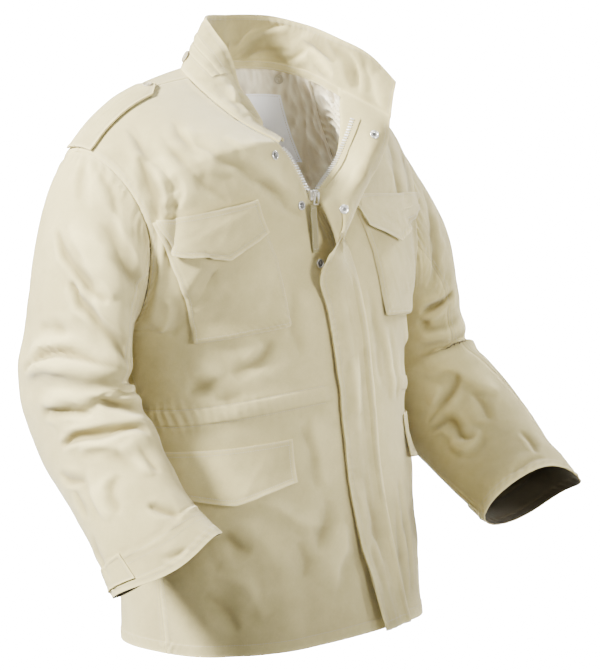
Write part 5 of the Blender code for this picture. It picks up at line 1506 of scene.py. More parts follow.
def bag_lift(s, t):
    """How far the pocket's bag stands off the front: its folded edge, then its fullness."""
    side = 1 - (2 * abs(s) / CHEST_BAG.width)**4
    down = 1 - (2 * abs(t / CHEST_BAG.length - 0.5))**4
    inside = min(CHEST_BAG.width / 2 - abs(s), CHEST_BAG.length - t)
    edge = BAG_EDGE.high * min(max(inside / BAG_EDGE.wide, 0), 1)**0.7
    stands = BAG_STANDS.high * smoothstep((t / CHEST_BAG.length - BAG_STANDS.start) / 0.22)
    return POCKET_LIFT + edge + stands + 0.6 * CHEST_BAG.bulge * max(side, 0) * max(down, 0)


def bridged(points, passes=24):
    """A stiff piece spans the small valleys of the front below it; it is only ever raised."""
    points = points.copy()
    for _ in range(passes):
        normals = grid_normals(points, np.array([0, -1, 0]))
        for axis in (0, 1):
            p, n = np.moveaxis(points, axis, 0), np.moveaxis(normals, axis, 0)
            rise = np.sum(((p[:-2] + p[2:]) / 2 - p[1:-1]) * n[1:-1], axis=-1, keepdims=True)
            p[1:-1] += 0.5 * n[1:-1] * np.maximum(rise, 0)
    return points


def laid_piece(node, panel, places, lifts, seed, soft, edges):
    """A piece laid on a panel: places and lifts of its under face, its outer face softly creased."""
    rows, columns = places.shape[:2]
    points = np.array([[panel.laid(*places[r, c], lifts[r, c]) for c in range(columns)] for r in range(rows)])
    points = bridged(points)
    normals = grid_normals(points, np.array([0, -1, 0]))
    smooth_normals = normals.copy()
    for _ in range(4):
        smooth_normals[1:-1] = unit(smooth_normals[:-2] + smooth_normals[1:-1] * 2 + smooth_normals[2:])
        smooth_normals[:, 1:-1] = unit(smooth_normals[:, :-2] + smooth_normals[:, 1:-1] * 2
                                       + smooth_normals[:, 2:])
    lengths = edge_lengths(points)
    near = nearest_edge(lengths, "first", "last", "bottom")
    height = crumple(points, soft, seed) * smoothstep(near / 0.012)
    height = height + pucker(near, lengths["first"] + lengths["top"], points, seed + 3)
    height = height + groove(near, 0.0068)
    folded = points + smooth_normals * (TRIM_WALL + np.maximum(height, -0.0008))[:, :, None]
    obj = sewn(node + "_cloth", folded, smooth_normals, TRIM_WALL, materials().trim,
               edge_values(folded, height, 0.003))
    sew_edges("trim", even_cloth(folded, smooth_normals, height), edges, (0.0016, 0.0068), 0.02, 0.98)
    shown(obj, "jacket", "khaki_cloth", node)


def make_bag(side, word):
    place = CHEST_POCKET[side]
    s = (spread(58, CHEST_BAG.width, "start", "end") - 0.5) * CHEST_BAG.width
    t = BAG_TOP + (CHEST_BAG.length - BAG_TOP) * spread(64, CHEST_BAG.length, "end")
    places = np.array([[pocket_place(place, a, b) for a in s] for b in t])
    lifts = np.array([[bag_lift(a, b) for a in s] for b in t])
    laid_piece("chest_pocket_" + word, body_panel(side, 1), places, lifts, 71 + side, 0.0008,
               "first last bottom")


def chest_flap_lift(s, t):
    inside = min(max(s, BAG_EDGE.wide - CHEST_BAG.width / 2), CHEST_BAG.width / 2 - BAG_EDGE.wide)
    return bag_lift(inside, max(t, BAG_TOP)) + TRIM_WALL + LAY_GAP + 0.0004


def make_pocket_flap(kind, side, word, place, size, lift):
    downs = np.linspace(0, 1, 30)
    s = np.linspace(-0.5, 0.5, 62) * size.width
    length = size.side + (size.point - size.side) * (1 - 2 * np.abs(s) / size.width)
    places = np.array([[pocket_place(place, a, d * l - FLAP_ABOVE) for a, l in zip(s, length)]
                       for d in downs])
    lifts = np.array([[lift(a, d * l) + FLAP_STANDS * d**2 for a, l in zip(s, length)] for d in downs])
    laid_piece("%s_flap_%s" % (kind, word), body_panel(side, 1), places, lifts, 81 + side, 0.0007,
               "first last bottom top")


# ================================================================ straps and tabs
STRAP = SimpleNamespace(start=0.30, end=0.985, half=0.024, point=0.020, lift=LAY_GAP)
CUFF_TAB = SimpleNamespace(rows=(-1.35, -0.35), start=0.5, end=5.0, lift=LAY_GAP)


def shoulder_point(side, along, across, lift):
    """A place on the shoulder, 'along' its seam from the neck and 'across' it to the front."""
    panel = body_panel(side, 1 if across >= 0 else -1)
    column = along * (len(PLAIN_COLUMNS) - 1)
    count = np.arange(len(PLAIN_COLUMNS))
    line = np.array([[np.interp(column, count, panel.plain[r, :, i]) for i in range(3)] for r in range(4)])
    lengths = np.concatenate([[0], np.cumsum(np.linalg.norm(np.diff(line, axis=0), axis=1))])
    row = np.interp(abs(across), lengths, np.arange(4))
    return panel.point(np.interp(row, np.arange(4), PLAIN_ROWS[:4]), along, lift)


def make_strap(side, word):
    rows = []
    for along in np.linspace(0, 1, 50):
        row = []
        for across in np.linspace(-1, 1, 22):
            reach = STRAP.start + STRAP.point / 0.19 * abs(across)
            place = STRAP.end + (reach - STRAP.end) * along
            beside = across * STRAP.half * (1 - 0.10 * along)
            row.append(shoulder_point(side, place, beside, STRAP.lift + 0.0018))
        rows.append(row)
    points = np.array(rows)
    normals = grid_normals(points, np.array([0, 0, 1]))
    near = nearest_edge(edge_lengths(points))
    height = crumple(points, 0.0006, 95) * smoothstep(near / 0.01) + groove(near, 0.006)
    folded = points + normals * (2 * TRIM_WALL + height)[:, :, None]
    cloth = Cloth(np.linspace(0, 1, 50), np.linspace(-1, 1, 22), folded, normals, height)
    MAKE["strap", side] = cloth
    obj = sewn("shoulder_strap_%s_cloth" % word, folded, normals, 2 * TRIM_WALL, materials().trim,
               edge_values(folded, height, 0.003))
    sew_edges("trim", cloth, "first last", (0.006,), 0.02, 0.96)
    sew_edges("trim", cloth, "bottom", (0.006,), -0.9, 0.9)
    shown(obj, "jacket", "khaki_cloth", "shoulder_strap_" + word)


def make_cuff_tab(side, word):
    upper, _ = sleeve_cloths(side)
    last = len(PLAIN_SLEEVE_ROWS) - 1
    rows = np.interp(last + np.linspace(*CUFF_TAB.rows, 16), np.arange(last + 1), PLAIN_SLEEVE_ROWS)
    columns = np.interp(np.linspace(CUFF_TAB.start, CUFF_TAB.end, 50), np.arange(len(PLAIN_SLEEVE_ANGLES)),
                        PLAIN_SLEEVE_ANGLES)
    points = upper.point(rows[:, None] + 0 * columns[None], columns[None] + 0 * rows[:, None],
                         CUFF_TAB.lift + 0.0004)
    normals = grid_normals(points, points.mean(axis=(0, 1)) - upper.points[-1].mean(axis=0))
    height = groove(nearest_edge(edge_lengths(points)), 0.005, 0.0004, 0.001)
    folded = points + normals * (TRIM_WALL + height)[:, :, None]
    obj = sewn("cuff_tab_%s_cloth" % word, folded, normals, TRIM_WALL, materials().trim,
               edge_values(folded, height, 0.002))
    sew_edges("trim", even_cloth(folded, normals, height), "first last top bottom", (0.004,), 0.05, 0.95)
    shown(obj, "jacket", "khaki_cloth", "cuff_tab_" + word)


# ================================================================ inside of the neck
LINER_TOP, LINER_SPLIT, LINER_END = 0.30, 0.765, 0.872
LINER_LOW = Table("at x y z",
                  (0.30, -0.190, -0.020, -0.215), (0.45, -0.135, 0.090, -0.225),
                  (0.55, -0.002, 0.116, -0.235), (0.65, 0.118, 0.094, -0.225),
                  (0.73, 0.185, 0.040, -0.215), (0.80, 0.178, -0.045, -0.205),
                  (0.86, 0.125, -0.092, -0.200))
LINER_INSET = 0.0055
LINER_SAG = 0.010
LABEL = SimpleNamespace(across=(0.575, 0.672), down=(0.16, 0.57), lean=0.07, out=0.0040)
LINER_BUTTON = (0.672, 0.065)
LINER_JOIN = 0.001


def liner_point(at, down, pleats=0.0):
    at, down = np.broadcast_arrays(np.asarray(at, float), np.asarray(down, float))
    inward = neck_inward(at)
    inset = LINER_INSET * smoothstep(down / 0.03 + 0.25)
    top = NECK.place(at) + inward * inset[..., None] + np.array([0, 0, -0.003])
    low = LINER_LOW.place(at)
    d = down[..., None]
    sag = inward * LINER_SAG * np.sin(np.pi * d)
    wave = inward * np.asarray(pleats)[..., None] * np.sin(np.pi * np.clip(d, 0, 1))**0.5
    return top * (1 - d) + low * d + sag + wave


def make_liner_back():
    """Gathered satin at the back of the neck; its fullness runs down in soft uneven pleats."""
    at = np.linspace(LINER_TOP, LINER_SPLIT, 220)
    down = np.linspace(0, 1, 50)
    base = liner_point(at[None], down[:, None])
    phase = at[None] * 2 * math.pi * 30 + 3.4 * ripple(base, 0.07, 110) + 1.5 * down[:, None]
    pleats = 0.0026 * (1 - 2 * np.abs(np.sin(phase / 2))**0.8) * (0.55 + 0.45 * ripple(base, 0.10, 111))
    pleats = pleats + 0.0016 * (0.5 - np.abs(ripple(base, 0.022, 112)))
    under_label = np.exp(-((at[None] - 0.635) / 0.062)**6) * np.exp(-((down[:, None] - 0.36) / 0.27)**6)
    points = liner_point(at[None], down[:, None], pleats * (1 - 0.85 * under_label))
    normals = grid_normals(points, neck_inward(np.array([0.55])))
    # The fold value makes the satin paint highlight on the pleats' crests and shade in their hollows.
    obj = sewn("liner_back_satin", points, normals, LINER_WALL, materials().satin, {"fold": pleats / 0.0028})
    sew_edges("trim", Cloth(down, at, points, normals, None), "top", (0.004,), 0.31, 0.76)
    shown(obj, "jacket", "satin_lining", "liner_back")


def make_liner_left():
    """The ruched strip down the left side of the neck."""
    at = np.linspace(LINER_SPLIT + LINER_JOIN, LINER_END, 26)
    down = np.linspace(0, 1, 150)
    base = liner_point(at[None], down[:, None])
    phase = down[:, None] * 2 * math.pi * 15 + 3.2 * ripple(base, 0.045, 120) - at[None] * 60
    ruche = 0.0042 * (1 - 2 * np.abs(np.sin(phase / 2))**0.7) * (0.7 + 0.5 * ripple(base, 0.05, 121))
    ruche = ruche + 0.0014 * (0.5 - np.abs(ripple(base, 0.018, 122)))
    middle = np.sin(np.pi * np.linspace(0, 1, 26))[None]**0.5
    points = base + np.array([-1.0, -0.25, 0]) * (ruche * middle)[..., None]
    normals = grid_normals(points, neck_inward(np.array([0.80])))
    # The fold value makes the satin paint highlight on the ruches' crests and shade in their hollows.
    obj = sewn("liner_left_satin", points, normals, LINER_WALL, materials().satin, {"fold": ruche / 0.0042})
    shown(obj, "jacket", "satin_lining", "liner_left")


def tube(name, path, radius, material):
    """A round cord along a line of points, as a mesh."""
    curve = bpy.data.curves.new(name, "CURVE")
    curve.dimensions = "3D"
    curve.bevel_depth = radius
    curve.bevel_resolution = 2
    curve.use_fill_caps = True
    spline = curve.splines.new("POLY")
    spline.points.add(len(path) - 1)
    for point, place in zip(spline.points, path):
        point.co = (*place, 1)
    active(linked(name, curve))
    bpy.ops.object.convert(target="MESH")
    obj = bpy.context.active_object
    obj.data.materials.append(material)
    return obj


def make_piping():
    """The corded edges at the two ends of the lining's left strip."""
    down = np.linspace(0.02, 1, 70)
    for number, at in enumerate((LINER_SPLIT, LINER_END)):
        path = liner_point(np.full_like(down, at), down) + neck_inward(np.full_like(down, at)) * 0.0028
        obj = tube("liner_piping_%d" % (number + 1), path, 0.0016, materials().satin)
        shown(obj, "jacket", "satin_lining")


def make_label():
    """The label, left bare, stitched round."""
    at = np.linspace(*LABEL.across, 40)
    down = np.linspace(*LABEL.down, 44)
    leaning = at[None] + LABEL.lean * (down[:, None] - LABEL.down[0])
    flat = liner_point(leaning, down[:, None]) + neck_inward(leaning) * LABEL.out
    wave = 0.0007 * ripple(flat, 0.05, 131)
    normals = grid_normals(flat, np.array([0, -1, 0]))
    points = flat + normals * wave[..., None]
    obj = sewn("label_tape", points, normals, 0.0007, materials().label)
    sew_edges("trim", even_cloth(points, normals), "first last top bottom", (0.0028,), 0.03, 0.97)
    shown(obj, "jacket", "label_cloth", "label")


# ================================================================ zip
ZIP_INSET = 0.0014
ZIP_TOP = {RIGHT: 0.15, LEFT: 0.162}
COVERED_ZIP = (-0.152, -0.270)      # the roll of the flap hides the teeth between these heights
ZIP_ON_LAPEL = Table("at out", (0.150, 0.26), (0.164, 0.175), (0.176, 0.10), (0.190, 0.03), (0.205, 0.0),
                     (0.25, 0.0))
TOOTH = SimpleNamespace(pitch=0.0040, long=0.0060, wide=0.0021, high=0.0026)


def zip_half(side):
    """Middle, sideways direction and normal along one half of the zip."""
    flap = flap_cloth()
    middles, sides = [], []
    above = np.linspace(ZIP_TOP[side], ZIP_START, 40)
    for at in np.concatenate([above, np.linspace(ZIP_START, 0.985, 160)[1:]]):
        if side == LEFT and at < ZIP_START - 0.001:
            out = float(ZIP_ON_LAPEL.row(at).out)
            end = flap.point(at, out, -2 * TRIM_WALL - 0.0008)
            start = flap.point(at, out + 0.07, -2 * TRIM_WALL - 0.0008)
        else:
            towards = np.array([-side, 0, 0]) * (ZIP_HALF - 0.0006)
            start = front_edge(side, at) + unit(towards) * ZIP_INSET + np.array([0, 0.0019, 0])
            end = start + towards - unit(towards) * ZIP_INSET
        middles.append((start + end) / 2)
        sides.append(unit(end - start))
    middles, sides = np.array(middles), np.array(sides)
    for _ in range(6):
        middles[1:-1] = (middles[:-2] + middles[1:-1] * 2 + middles[2:]) / 4
        sides[1:-1] = unit(sides[:-2] + sides[1:-1] * 2 + sides[2:])
    along = unit(np.gradient(middles, axis=0))
    out = unit(np.cross(along, sides))
    if np.sum(out[:, 1]) > 0:
        out = -out
    return middles, sides, out


def make_zip(side, word):
    look = materials()
    middles, sides, out = zip_half(side)
    covered = smoothstep((COVERED_ZIP[0] + 0.004 - middles[:, 2]) / 0.008)
    covered = covered * smoothstep((middles[:, 2] - COVERED_ZIP[1]) / 0.008)
    wide = -0.0105 + (0.0109 + 0.0013 * covered[:, None]) * np.linspace(0, 1, 6)
    points = middles[:, None] + sides[:, None] * wide[..., None] + out[:, None] * 0.0003
    normals = np.repeat(out[:, None], 6, axis=1)
    tape = sewn("zip_tape_" + word, points, normals, 0.0006, look.trim)
    shown(tape, "jacket", "khaki_cloth")
    lengths = np.insert(np.cumsum(np.linalg.norm(np.diff(middles, axis=0), axis=1)), 0, 0)
    spots = np.arange(0.5 * TOOTH.pitch * (1 if side == RIGHT else 2), lengths[-1], TOOTH.pitch)
    heights = np.interp(spots, lengths, middles[:, 2])
    spots = spots[(heights > COVERED_ZIP[0]) | (heights < COVERED_ZIP[1])]

    def read(values):
        return np.stack([np.interp(spots, lengths, values[:, i]) for i in range(3)], axis=1)
    tooth = tapered_block((TOOTH.long, TOOTH.wide, TOOTH.high), 0.7, look.brass)
    teeth = copies("zip_teeth_" + word, tooth, read(middles) + unit(read(out)) * 0.0009, unit(read(sides)),
                   unit(read(out)))
    shown(teeth, "jacket", "nickel", "zip_" + word)


def dress_slider():
    """Slider and pull frame stay as their own solids, with rounded edges and plate."""
    for name in ("zip_slider", "zip_pull_frame"):
        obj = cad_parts[name]
        obj.data.materials.clear()
        obj.data.materials.append(materials().nickel)
        bevel = obj.modifiers.new("rounded", "BEVEL")
        bevel.width = 0.00035
        bevel.segments = 2
        bevel.limit_method = "ANGLE"
        bevel.angle_limit = math.radians(40)


PULL_LEAN = math.radians(5.0)


def make_pull_strip():
    """The doubled strip of cloth sewn through the pull frame."""
    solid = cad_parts["zip_pull_ribbon"]
    corners = np.array([v.co for v in solid.data.vertices])
    centre = corners.mean(axis=0)
    axis = unit(np.array([-math.sin(PULL_LEAN), 0, math.cos(PULL_LEAN)]))
    down = corners @ axis
    beside = np.array([axis[2], 0, -axis[0]])
    half = 0.0053
    v = np.linspace(-0.5, 0.5, 40) * (down.max() - down.min())
    u = np.linspace(-1, 1, 12) * half
    points = centre + axis * v[:, None, None] + beside * u[None, :, None]
    points = points + np.array([0, -1, 0]) * (0.0008 + 0.0004 * (1 - (u / half)**2)[None, :, None]
                                              + 0.0004 * ripple(points, 0.02, 141)[..., None])
    normals = grid_normals(points, np.array([0, -1, 0]))
    obj = sewn("zip_pull_strip", points, normals, 0.0017, materials().tape,
               edge_values(points, np.zeros(points.shape[:2]), 0.0016))
    cloth = even_cloth(points, normals)
    sew_edges("pull", cloth, "first last", (0.0014,), 0.03, 0.97)
    sew_edges("pull", cloth, "top bottom", (0.004,), 0.15, 0.85)
    shown(obj, "zip_pull", "khaki_cloth", "zip_pull_ribbon")


# ================================================================ buttons and studs
# Half sections: shares of the radius, and heights over the cloth.
STUD_SECTION = ((0.80, 0.0), (0.98, 0.0004), (1, 0.0012), (0.93, 0.0019), (0.80, 0.0021), (0.70, 0.0016),
                (0.62, 0.0009), (0.46, 0.0009), (0.42, 0.0014), (0.40, 0.0026), (0.30, 0.0032),
                (0.10, 0.0034))
SOCKET_SECTION = ((0.85, 0.0), (1, 0.0005), (1.02, 0.0013), (0.92, 0.0022), (0.76, 0.0023), (0.66, 0.0015),
                  (0.56, 0.0012), (0.48, 0.0016), (0.40, 0.0014), (0.36, 0.0004), (0.12, 0.0003))
BUTTON_SECTION = ((0.80, 0.0), (0.97, 0.0005), (1, 0.0014), (0.96, 0.0024), (0.86, 0.0029), (0.74, 0.0026),
                  (0.60, 0.0017), (0.12, 0.0016))
STUD_RADIUS = 0.0062
BUTTON_RADIUS = 0.0085
SMALL_BUTTON_RADIUS = 0.0065
STUDS = ((0.026, -0.094), (0.022, -0.160), (0.034, -0.238), (0.034, -0.560))
SOCKETS = ((0.172, 0.62), (0.262, 0.55))


def turned_piece(name, radius, section, sides, material):
    """A round piece spun from a half section."""
    profile = [(radius * share, height) for share, height in section]
    obj = added(bpy.ops.mesh.primitive_circle_add, vertices=sides, radius=profile[0][0],
                location=(0, 0, profile[0][1]))
    obj.name = obj.data.name = name
    bpy.ops.object.transform_apply(location=True)
    bpy.ops.object.mode_set(mode="EDIT")
    bpy.ops.mesh.select_all(action="SELECT")
    for (r0, h0), (r1, h1) in zip(profile, profile[1:]):
        bpy.ops.mesh.extrude_region_move(TRANSFORM_OT_translate={"value": (0, 0, h1 - h0)})
        bpy.ops.transform.resize(value=(r1 / r0, r1 / r0, 1), center_override=(0, 0, h1))
    bpy.ops.mesh.select_all(action="SELECT")
    bpy.ops.mesh.region_to_loop()
    bpy.ops.mesh.edge_face_add()
    bpy.ops.object.mode_set(mode="OBJECT")
    obj.data.materials.append(material)
    return obj


def cap_ends(obj):
    """Closes the two open ends of a turned piece and turns its faces outwards."""
    active(obj)
    bpy.ops.object.mode_set(mode="EDIT")
    bpy.ops.mesh.select_all(action="DESELECT")
    bpy.ops.mesh.select_non_manifold(extend=False)
    bpy.ops.mesh.fill_holes(sides=0)
    bpy.ops.object.mode_set(mode="OBJECT")
    outwards(obj)


def standing(obj, centre, normal, slot, node):
    """Places a finished small piece on the cloth, with its place in its mesh."""
    turn = Vector(normal).to_track_quat("Z", "Y").to_matrix().to_4x4()
    obj.data.transform(Matrix.Translation(Vector(centre)) @ turn)
    obj.data.update()
    shown(obj, "jacket", slot, node)


def snap_shape(name, section, painted_centre_shade):
    """A press stud or its socket; a dark plate over its middle, a share of its radius wide, is painted shade
    in and round its recess.
    """
    obj = turned_piece(name, STUD_RADIUS, section, 28, materials().nickel)
    obj.data.materials.append(materials().painted_centre_shade)
    # Faces over the middle take the dark plate: painted shade of the recess.
    for face in obj.data.polygons:
        face.material_index = int(math.hypot(face.center.x, face.center.y) < STUD_RADIUS * painted_centre_shade)
    cap_ends(obj)
    return obj


def button_shape(name, r):
    """A four-hole button with a raised rim, and the thread that holds it."""
    button = turned_piece(name, r, BUTTON_SECTION, 32, materials().button)
    cap_ends(button)
    hole = r * 0.20
    for x in (-hole, hole):
        for y in (-hole, hole):
            cutter = added(bpy.ops.mesh.primitive_cylinder_add, vertices=12, radius=r * 0.115, depth=0.01,
                           location=(x, y, 0))
            applied(button, "BOOLEAN", operation="DIFFERENCE", solver="EXACT", object=cutter)
            bpy.data.objects.remove(cutter)
    threads = []
    for sign in (1, -1):
        thread = added(bpy.ops.mesh.primitive_cylinder_add, vertices=8, radius=0.0005, depth=hole * 2.9)
        thread.data.transform(Matrix.Translation((0, 0, 0.0019)) @ Matrix.Rotation(sign * math.pi / 4, 4, "Z")
                              @ Matrix.Rotation(math.pi / 2, 4, "X"))
        thread.data.materials.append(materials().thread)
        threads.append(thread)
    return joined([button, *threads])


def make_studs():
    right, flap = body_panel(RIGHT, 1), flap_cloth()
    for number, (across, z) in enumerate(STUDS, 1):
        at, u = right.find(across, z)
        standing(snap_shape("stud_%d_ring" % number, STUD_SECTION, 0.72), right.point(at, u, 0.0003),
                 right.normal(at, u), "nickel", "stud_%d" % number)
    for number, (at, out) in enumerate(np.array(SOCKETS), 1):
        standing(snap_shape("socket_%d_ring" % number, SOCKET_SECTION, 0.42),
                 flap.point(at, out, -2 * TRIM_WALL - 0.0003), -flap.normal(at, out), "nickel",
                 "socket_%d" % number)


def make_buttons():
    collar = collar_cloth()
    up = np.float64(0.2375)
    for word, at in (("right", np.float64(0.425)), ("left", np.float64(0.675))):
        standing(button_shape("collar_button_%s_sewn" % word, BUTTON_RADIUS), collar.point(up, at, 0.0004),
                 collar.normal(up, at), "button_plastic", "collar_button_" + word)
    at, u = np.float64(0.9), np.float64(0.0)
    for side, word in ((RIGHT, "right"), (LEFT, "left")):
        strap = MAKE.get(("strap", side))
        if strap is None:
            raise RuntimeError("make the shoulder straps before their buttons")
        standing(button_shape("strap_button_%s_sewn" % word, SMALL_BUTTON_RADIUS),
                 strap.point(at, u, 0.0003), strap.normal(at, u), "button_plastic", "strap_button_" + word)
    at, down = np.array(LINER_BUTTON)
    normal = neck_inward(at)
    standing(button_shape("liner_button_sewn", SMALL_BUTTON_RADIUS), liner_point(at, down) + normal * 0.0032,
             normal, "button_plastic", "liner_button")


# ================================================================ sizes and colours
class JacketSizes(bpy.types.PropertyGroup):
    """Sizes that a user would change."""
    spacing: bpy.props.FloatProperty(
        name="Mesh spacing", description="Distance between points of the large panels",
        default=0.0033, min=0.002, max=0.02, unit="LENGTH")
    crumple: bpy.props.FloatProperty(
        name="Crumple", description="Height of the soft creases all over the shell",
        default=0.0004, min=0.0, max=0.004, unit="LENGTH")
    lens: bpy.props.FloatProperty(
        name="Lens", description="Focal length of the camera", default=160.1, min=35, max=300)


def colour(name, description, default):
    return bpy.props.FloatVectorProperty(name=name, description=description, default=default, size=3,
                                         min=0.0, max=1.0, subtype="COLOR")


class JacketColours(bpy.types.PropertyGroup):
    """Colours of the cloth and the fastenings."""
    khaki: colour("Khaki", "Mean colour of the shell's threads", (0.63, 0.545, 0.26))
    # Light tint: rubbed, washed-out places and worn edges, and the painted highlight on the ridges of folds.
    faded_and_highlight: colour("Faded", "Tint of rubbed and faded places", (1.0, 1.0, 1.0))
    # Shade tint: blotches that kept their dye, and the painted shade in the valleys of folds.
    shade: colour("Shade", "Tint of places that kept their dye", (0.50, 0.48, 0.43))
    # Sleeve lining: olive cotton set darker still, so its colour is partly painted shade of the inside of the
    # sleeves.
    lining: colour("Sleeve lining", "Cotton inside the sleeves", (0.07, 0.055, 0.025))
    body_lining: colour("Body lining", "Cloth inside the body", (0.30, 0.26, 0.18))
    # Satin: the lighter satin tone, which also carries the painted highlight on the crests of the pleats.
    satin: colour("Satin", "Bright side of the gathered lining", (0.97, 0.91, 0.70))
    # Satin shade: the darker satin tone, which also carries the painted shade in the hollows of the pleats.
    satin_dark: colour("Satin shade", "Dull side of the gathered lining", (0.58, 0.50, 0.33))
    label: colour("Label", "Bare label tape", (0.98, 0.98, 1.0))
    nickel: colour("Nickel", "Plate of studs, slider and teeth", (0.95, 0.93, 0.87))
    button: colour("Buttons", "Button plastic", (0.42, 0.37, 0.25))
    thread: colour("Thread", "Sewing thread", (0.50, 0.45, 0.32))


# ================================================================ operators
class JacketPiece:
    """What the operators of the pieces share."""
    bl_options = {"REGISTER", "UNDO"}

    def execute(self, context):
        self.make()
        return {"FINISHED"}


class JACKET_OT_body(JacketPiece, bpy.types.Operator):
    """Fronts and back"""
    bl_idname = "jacket.body"
    bl_label = "Fronts and back"

    def make(self):
        make_front(RIGHT, "right")
        make_front(LEFT, "left")
        make_back()


class JACKET_OT_sleeves(JacketPiece, bpy.types.Operator):
    """Upper and under sleeves"""
    bl_idname = "jacket.sleeves"
    bl_label = "Sleeves"

    def make(self):
        make_sleeve(RIGHT, "right")
        make_sleeve(LEFT, "left")


class JACKET_OT_collar(JacketPiece, bpy.types.Operator):
    """Stand-up collar and the welt of its hood pocket"""
    bl_idname = "jacket.collar"
    bl_label = "Collar"

    def make(self):
        make_collar()
        make_collar_welt()
        make_neck_tape()


class JACKET_OT_storm_flap(JacketPiece, bpy.types.Operator):
    """Storm flap, folded back at the neck"""
    bl_idname = "jacket.storm_flap"
    bl_label = "Storm flap"

    def make(self):
        make_storm_flap()


class JACKET_OT_pockets(JacketPiece, bpy.types.Operator):
    """Chest pockets and all pocket flaps"""
    bl_idname = "jacket.pockets"
    bl_label = "Pockets"

    def make(self):
        for side, word in ((RIGHT, "right"), (LEFT, "left")):
            make_bag(side, word)
            flap_place = CHEST_FLAP_ACROSS[side], CHEST_POCKET[side][1], CHEST_FLAP_TILT[side]
            make_pocket_flap("chest", side, word, flap_place, CHEST_FLAP[side], chest_flap_lift)
            make_pocket_flap("lower", side, word, LOWER_POCKET[side], LOWER_FLAP[side],
                             lambda s, t: POCKET_LIFT + 0.0006)


class JACKET_OT_straps(JacketPiece, bpy.types.Operator):
    """Shoulder straps and cuff tabs"""
    bl_idname = "jacket.straps"
    bl_label = "Straps and tabs"

    def make(self):
        for side, word in ((RIGHT, "right"), (LEFT, "left")):
            make_strap(side, word)
            make_cuff_tab(side, word)


class JACKET_OT_lining(JacketPiece, bpy.types.Operator):
    """Gathered lining of the neck, its piping and the label"""
    bl_idname = "jacket.lining"
    bl_label = "Lining"

    def make(self):
        make_liner_back()
        make_liner_left()
        make_piping()
        make_label()


class JACKET_OT_zip(JacketPiece, bpy.types.Operator):
    """Zip tapes and teeth, slider and pull"""
    bl_idname = "jacket.zip"
    bl_label = "Zip"

    def make(self):
        make_zip(RIGHT, "right")
        make_zip(LEFT, "left")
        dress_slider()
        make_pull_strip()


class JACKET_OT_fastenings(JacketPiece, bpy.types.Operator):
    """Press studs, sockets and buttons"""
    bl_idname = "jacket.fastenings"
    bl_label = "Studs and buttons"

    def make(self):
        make_studs()
        make_buttons()


class JACKET_OT_stitching(JacketPiece, bpy.types.Operator):
    """Rows of stitches on all seams, made after the cloth"""
    bl_idname = "jacket.stitching"
    bl_label = "Stitching"

    def make(self):
        for group in ("body", "sleeves", "trim", "pull"):
            make_stitching(group)


SCREEN = SimpleNamespace(behind=2.6, glow=25.0)
CAMERA = SimpleNamespace(azimuth=-40, height=8.5, distance=4.0, target=(0, 0, -0.38), shift=(0.0642, 0.0373))


class JACKET_OT_stage(JacketPiece, bpy.types.Operator):
    """Pale floor and backdrop, soft lights and the camera"""
    bl_idname = "jacket.stage"
    bl_label = "Stage"

    def make(self):
        make_floor()
        make_lights()
        make_camera()


def camera_back():
    """The direction from the camera's target to the camera."""
    a, e = math.radians(CAMERA.azimuth), math.radians(CAMERA.height)
    return Vector((math.sin(a) * math.cos(e), -math.cos(a) * math.cos(e), math.sin(e)))


def make_floor():
    """A pale floor, and a lit white screen behind the jacket as the camera sees it."""
    floor = added(bpy.ops.mesh.primitive_plane_add, size=30, location=(0, 0, -1.7))
    floor.name = "floor"
    floor.data.materials.append(plain_material("pale_paper", (0.85, 0.85, 0.84), 0.9, 0.0))
    back = camera_back()
    screen = added(bpy.ops.mesh.primitive_plane_add, size=2.3,
                   location=Vector(CAMERA.target) - back * SCREEN.behind,
                   rotation=back.to_track_quat("Z", "Y").to_euler())
    screen.name = "screen"
    screen.data.materials.append(plain_material("lit_screen", (0.9, 0.9, 0.9), 0.9, SCREEN.glow))
    screen.visible_diffuse = screen.visible_glossy = False


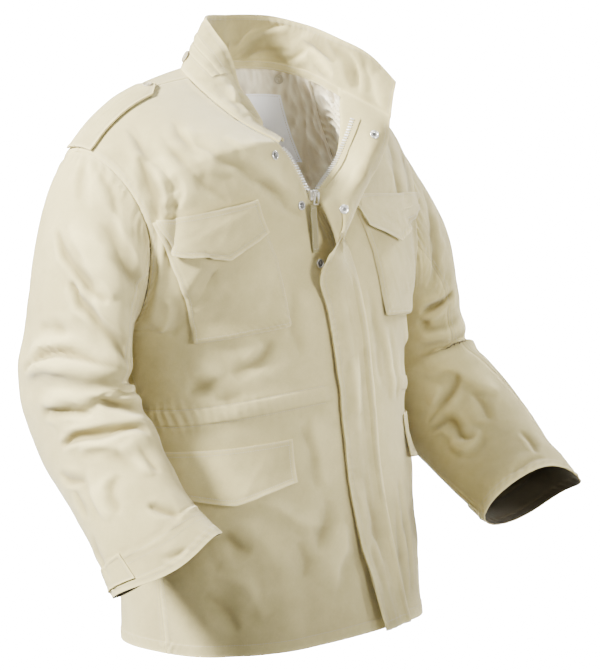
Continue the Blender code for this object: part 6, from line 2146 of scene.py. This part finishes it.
def make_lights():
    world = bpy.data.worlds.new("soft_room")
    bpy.context.scene.world = world
    world.use_nodes = True
    background = world.node_tree.nodes["Background"]
    background.inputs["Color"].default_value = (1.0, 0.995, 0.985, 1)
    background.inputs["Strength"].default_value = 0.10
    for name, place, aim, size, spread, power, color in (
            ("key", (-3.1, 0.7, 1.8), (-0.1, 0, -0.42), 0.8, 56, 88, (1.0, 0.99, 0.95)),
            ("front", (0.2, -1.45, -0.1), (-0.03, -0.1, -0.24), 0.5, 50, 2.2, (1.0, 0.99, 0.97)),
            ("side", (-2.3, -2.4, 0.5), (-0.25, 0, -0.08), 0.9, 34, 1.7, (1.0, 0.99, 0.97)),
            ("rim", (2.9, 0.1, 1.2), (0, 0, -0.35), 1.0, 70, 28, (1.0, 1.0, 1.0)),
            ("forearm", (2.0, -1.8, 0.1), (0.34, -0.2, -0.53), 0.5, 24, 1.3, (1.0, 1.0, 1.0)),
            ("top", (0.0, -0.9, 2.5), (0, 0, 0), 0.8, 60, 5, (1.0, 1.0, 0.98))):
        light = bpy.data.lights.new(name, "AREA")
        light.shape = "DISK"
        light.size = size
        light.energy = power
        light.spread = math.radians(spread)
        light.color = color
        obj = linked(name, light)
        obj.location = place
        obj.rotation_euler = (Vector(aim) - Vector(place)).to_track_quat("-Z", "Y").to_euler()


def make_camera():
    back = camera_back()
    data = bpy.data.cameras.new("camera")
    data.lens = bpy.context.scene.jacket_sizes.lens
    data.sensor_width = 36
    data.shift_x, data.shift_y = CAMERA.shift
    camera = linked("camera", data)
    camera.location = Vector(CAMERA.target) + back * CAMERA.distance
    camera.rotation_euler = (-back).to_track_quat("-Z", "Y").to_euler()
    bpy.context.scene.camera = camera


class JACKET_PT_panel(bpy.types.Panel):
    """Lists the pieces of the jacket"""
    bl_idname = "JACKET_PT_panel"
    bl_label = "Field jacket"
    bl_space_type = "VIEW_3D"
    bl_region_type = "UI"
    bl_category = "Jacket"

    def draw(self, context):
        for group in (context.scene.jacket_sizes, context.scene.jacket_colours):
            for name in group.__annotations__:
                self.layout.prop(group, name)
        for piece in PIECES:
            self.layout.operator(piece.bl_idname)


PIECES = (JACKET_OT_body, JACKET_OT_sleeves, JACKET_OT_collar, JACKET_OT_storm_flap, JACKET_OT_pockets,
          JACKET_OT_straps, JACKET_OT_lining, JACKET_OT_zip, JACKET_OT_fastenings, JACKET_OT_stitching,
          JACKET_OT_stage)
CLASSES = (JacketSizes, JacketColours, *PIECES, JACKET_PT_panel)


def register():
    for made in CLASSES:
        bpy.utils.register_class(made)
    bpy.types.Scene.jacket_sizes = bpy.props.PointerProperty(type=JacketSizes)
    bpy.types.Scene.jacket_colours = bpy.props.PointerProperty(type=JacketColours)


def unregister():
    del bpy.types.Scene.jacket_colours
    del bpy.types.Scene.jacket_sizes
    for made in reversed(CLASSES):
        bpy.utils.unregister_class(made)


def main():
    register()
    for leftover in ("Cube", "Light", "Camera"):
        if leftover in bpy.data.objects:
            bpy.data.objects.remove(bpy.data.objects[leftover])
    for piece in PIECES:
        group, name = piece.bl_idname.split(".")
        getattr(getattr(bpy.ops, group), name)()


if __name__ == "__main__":
    main()
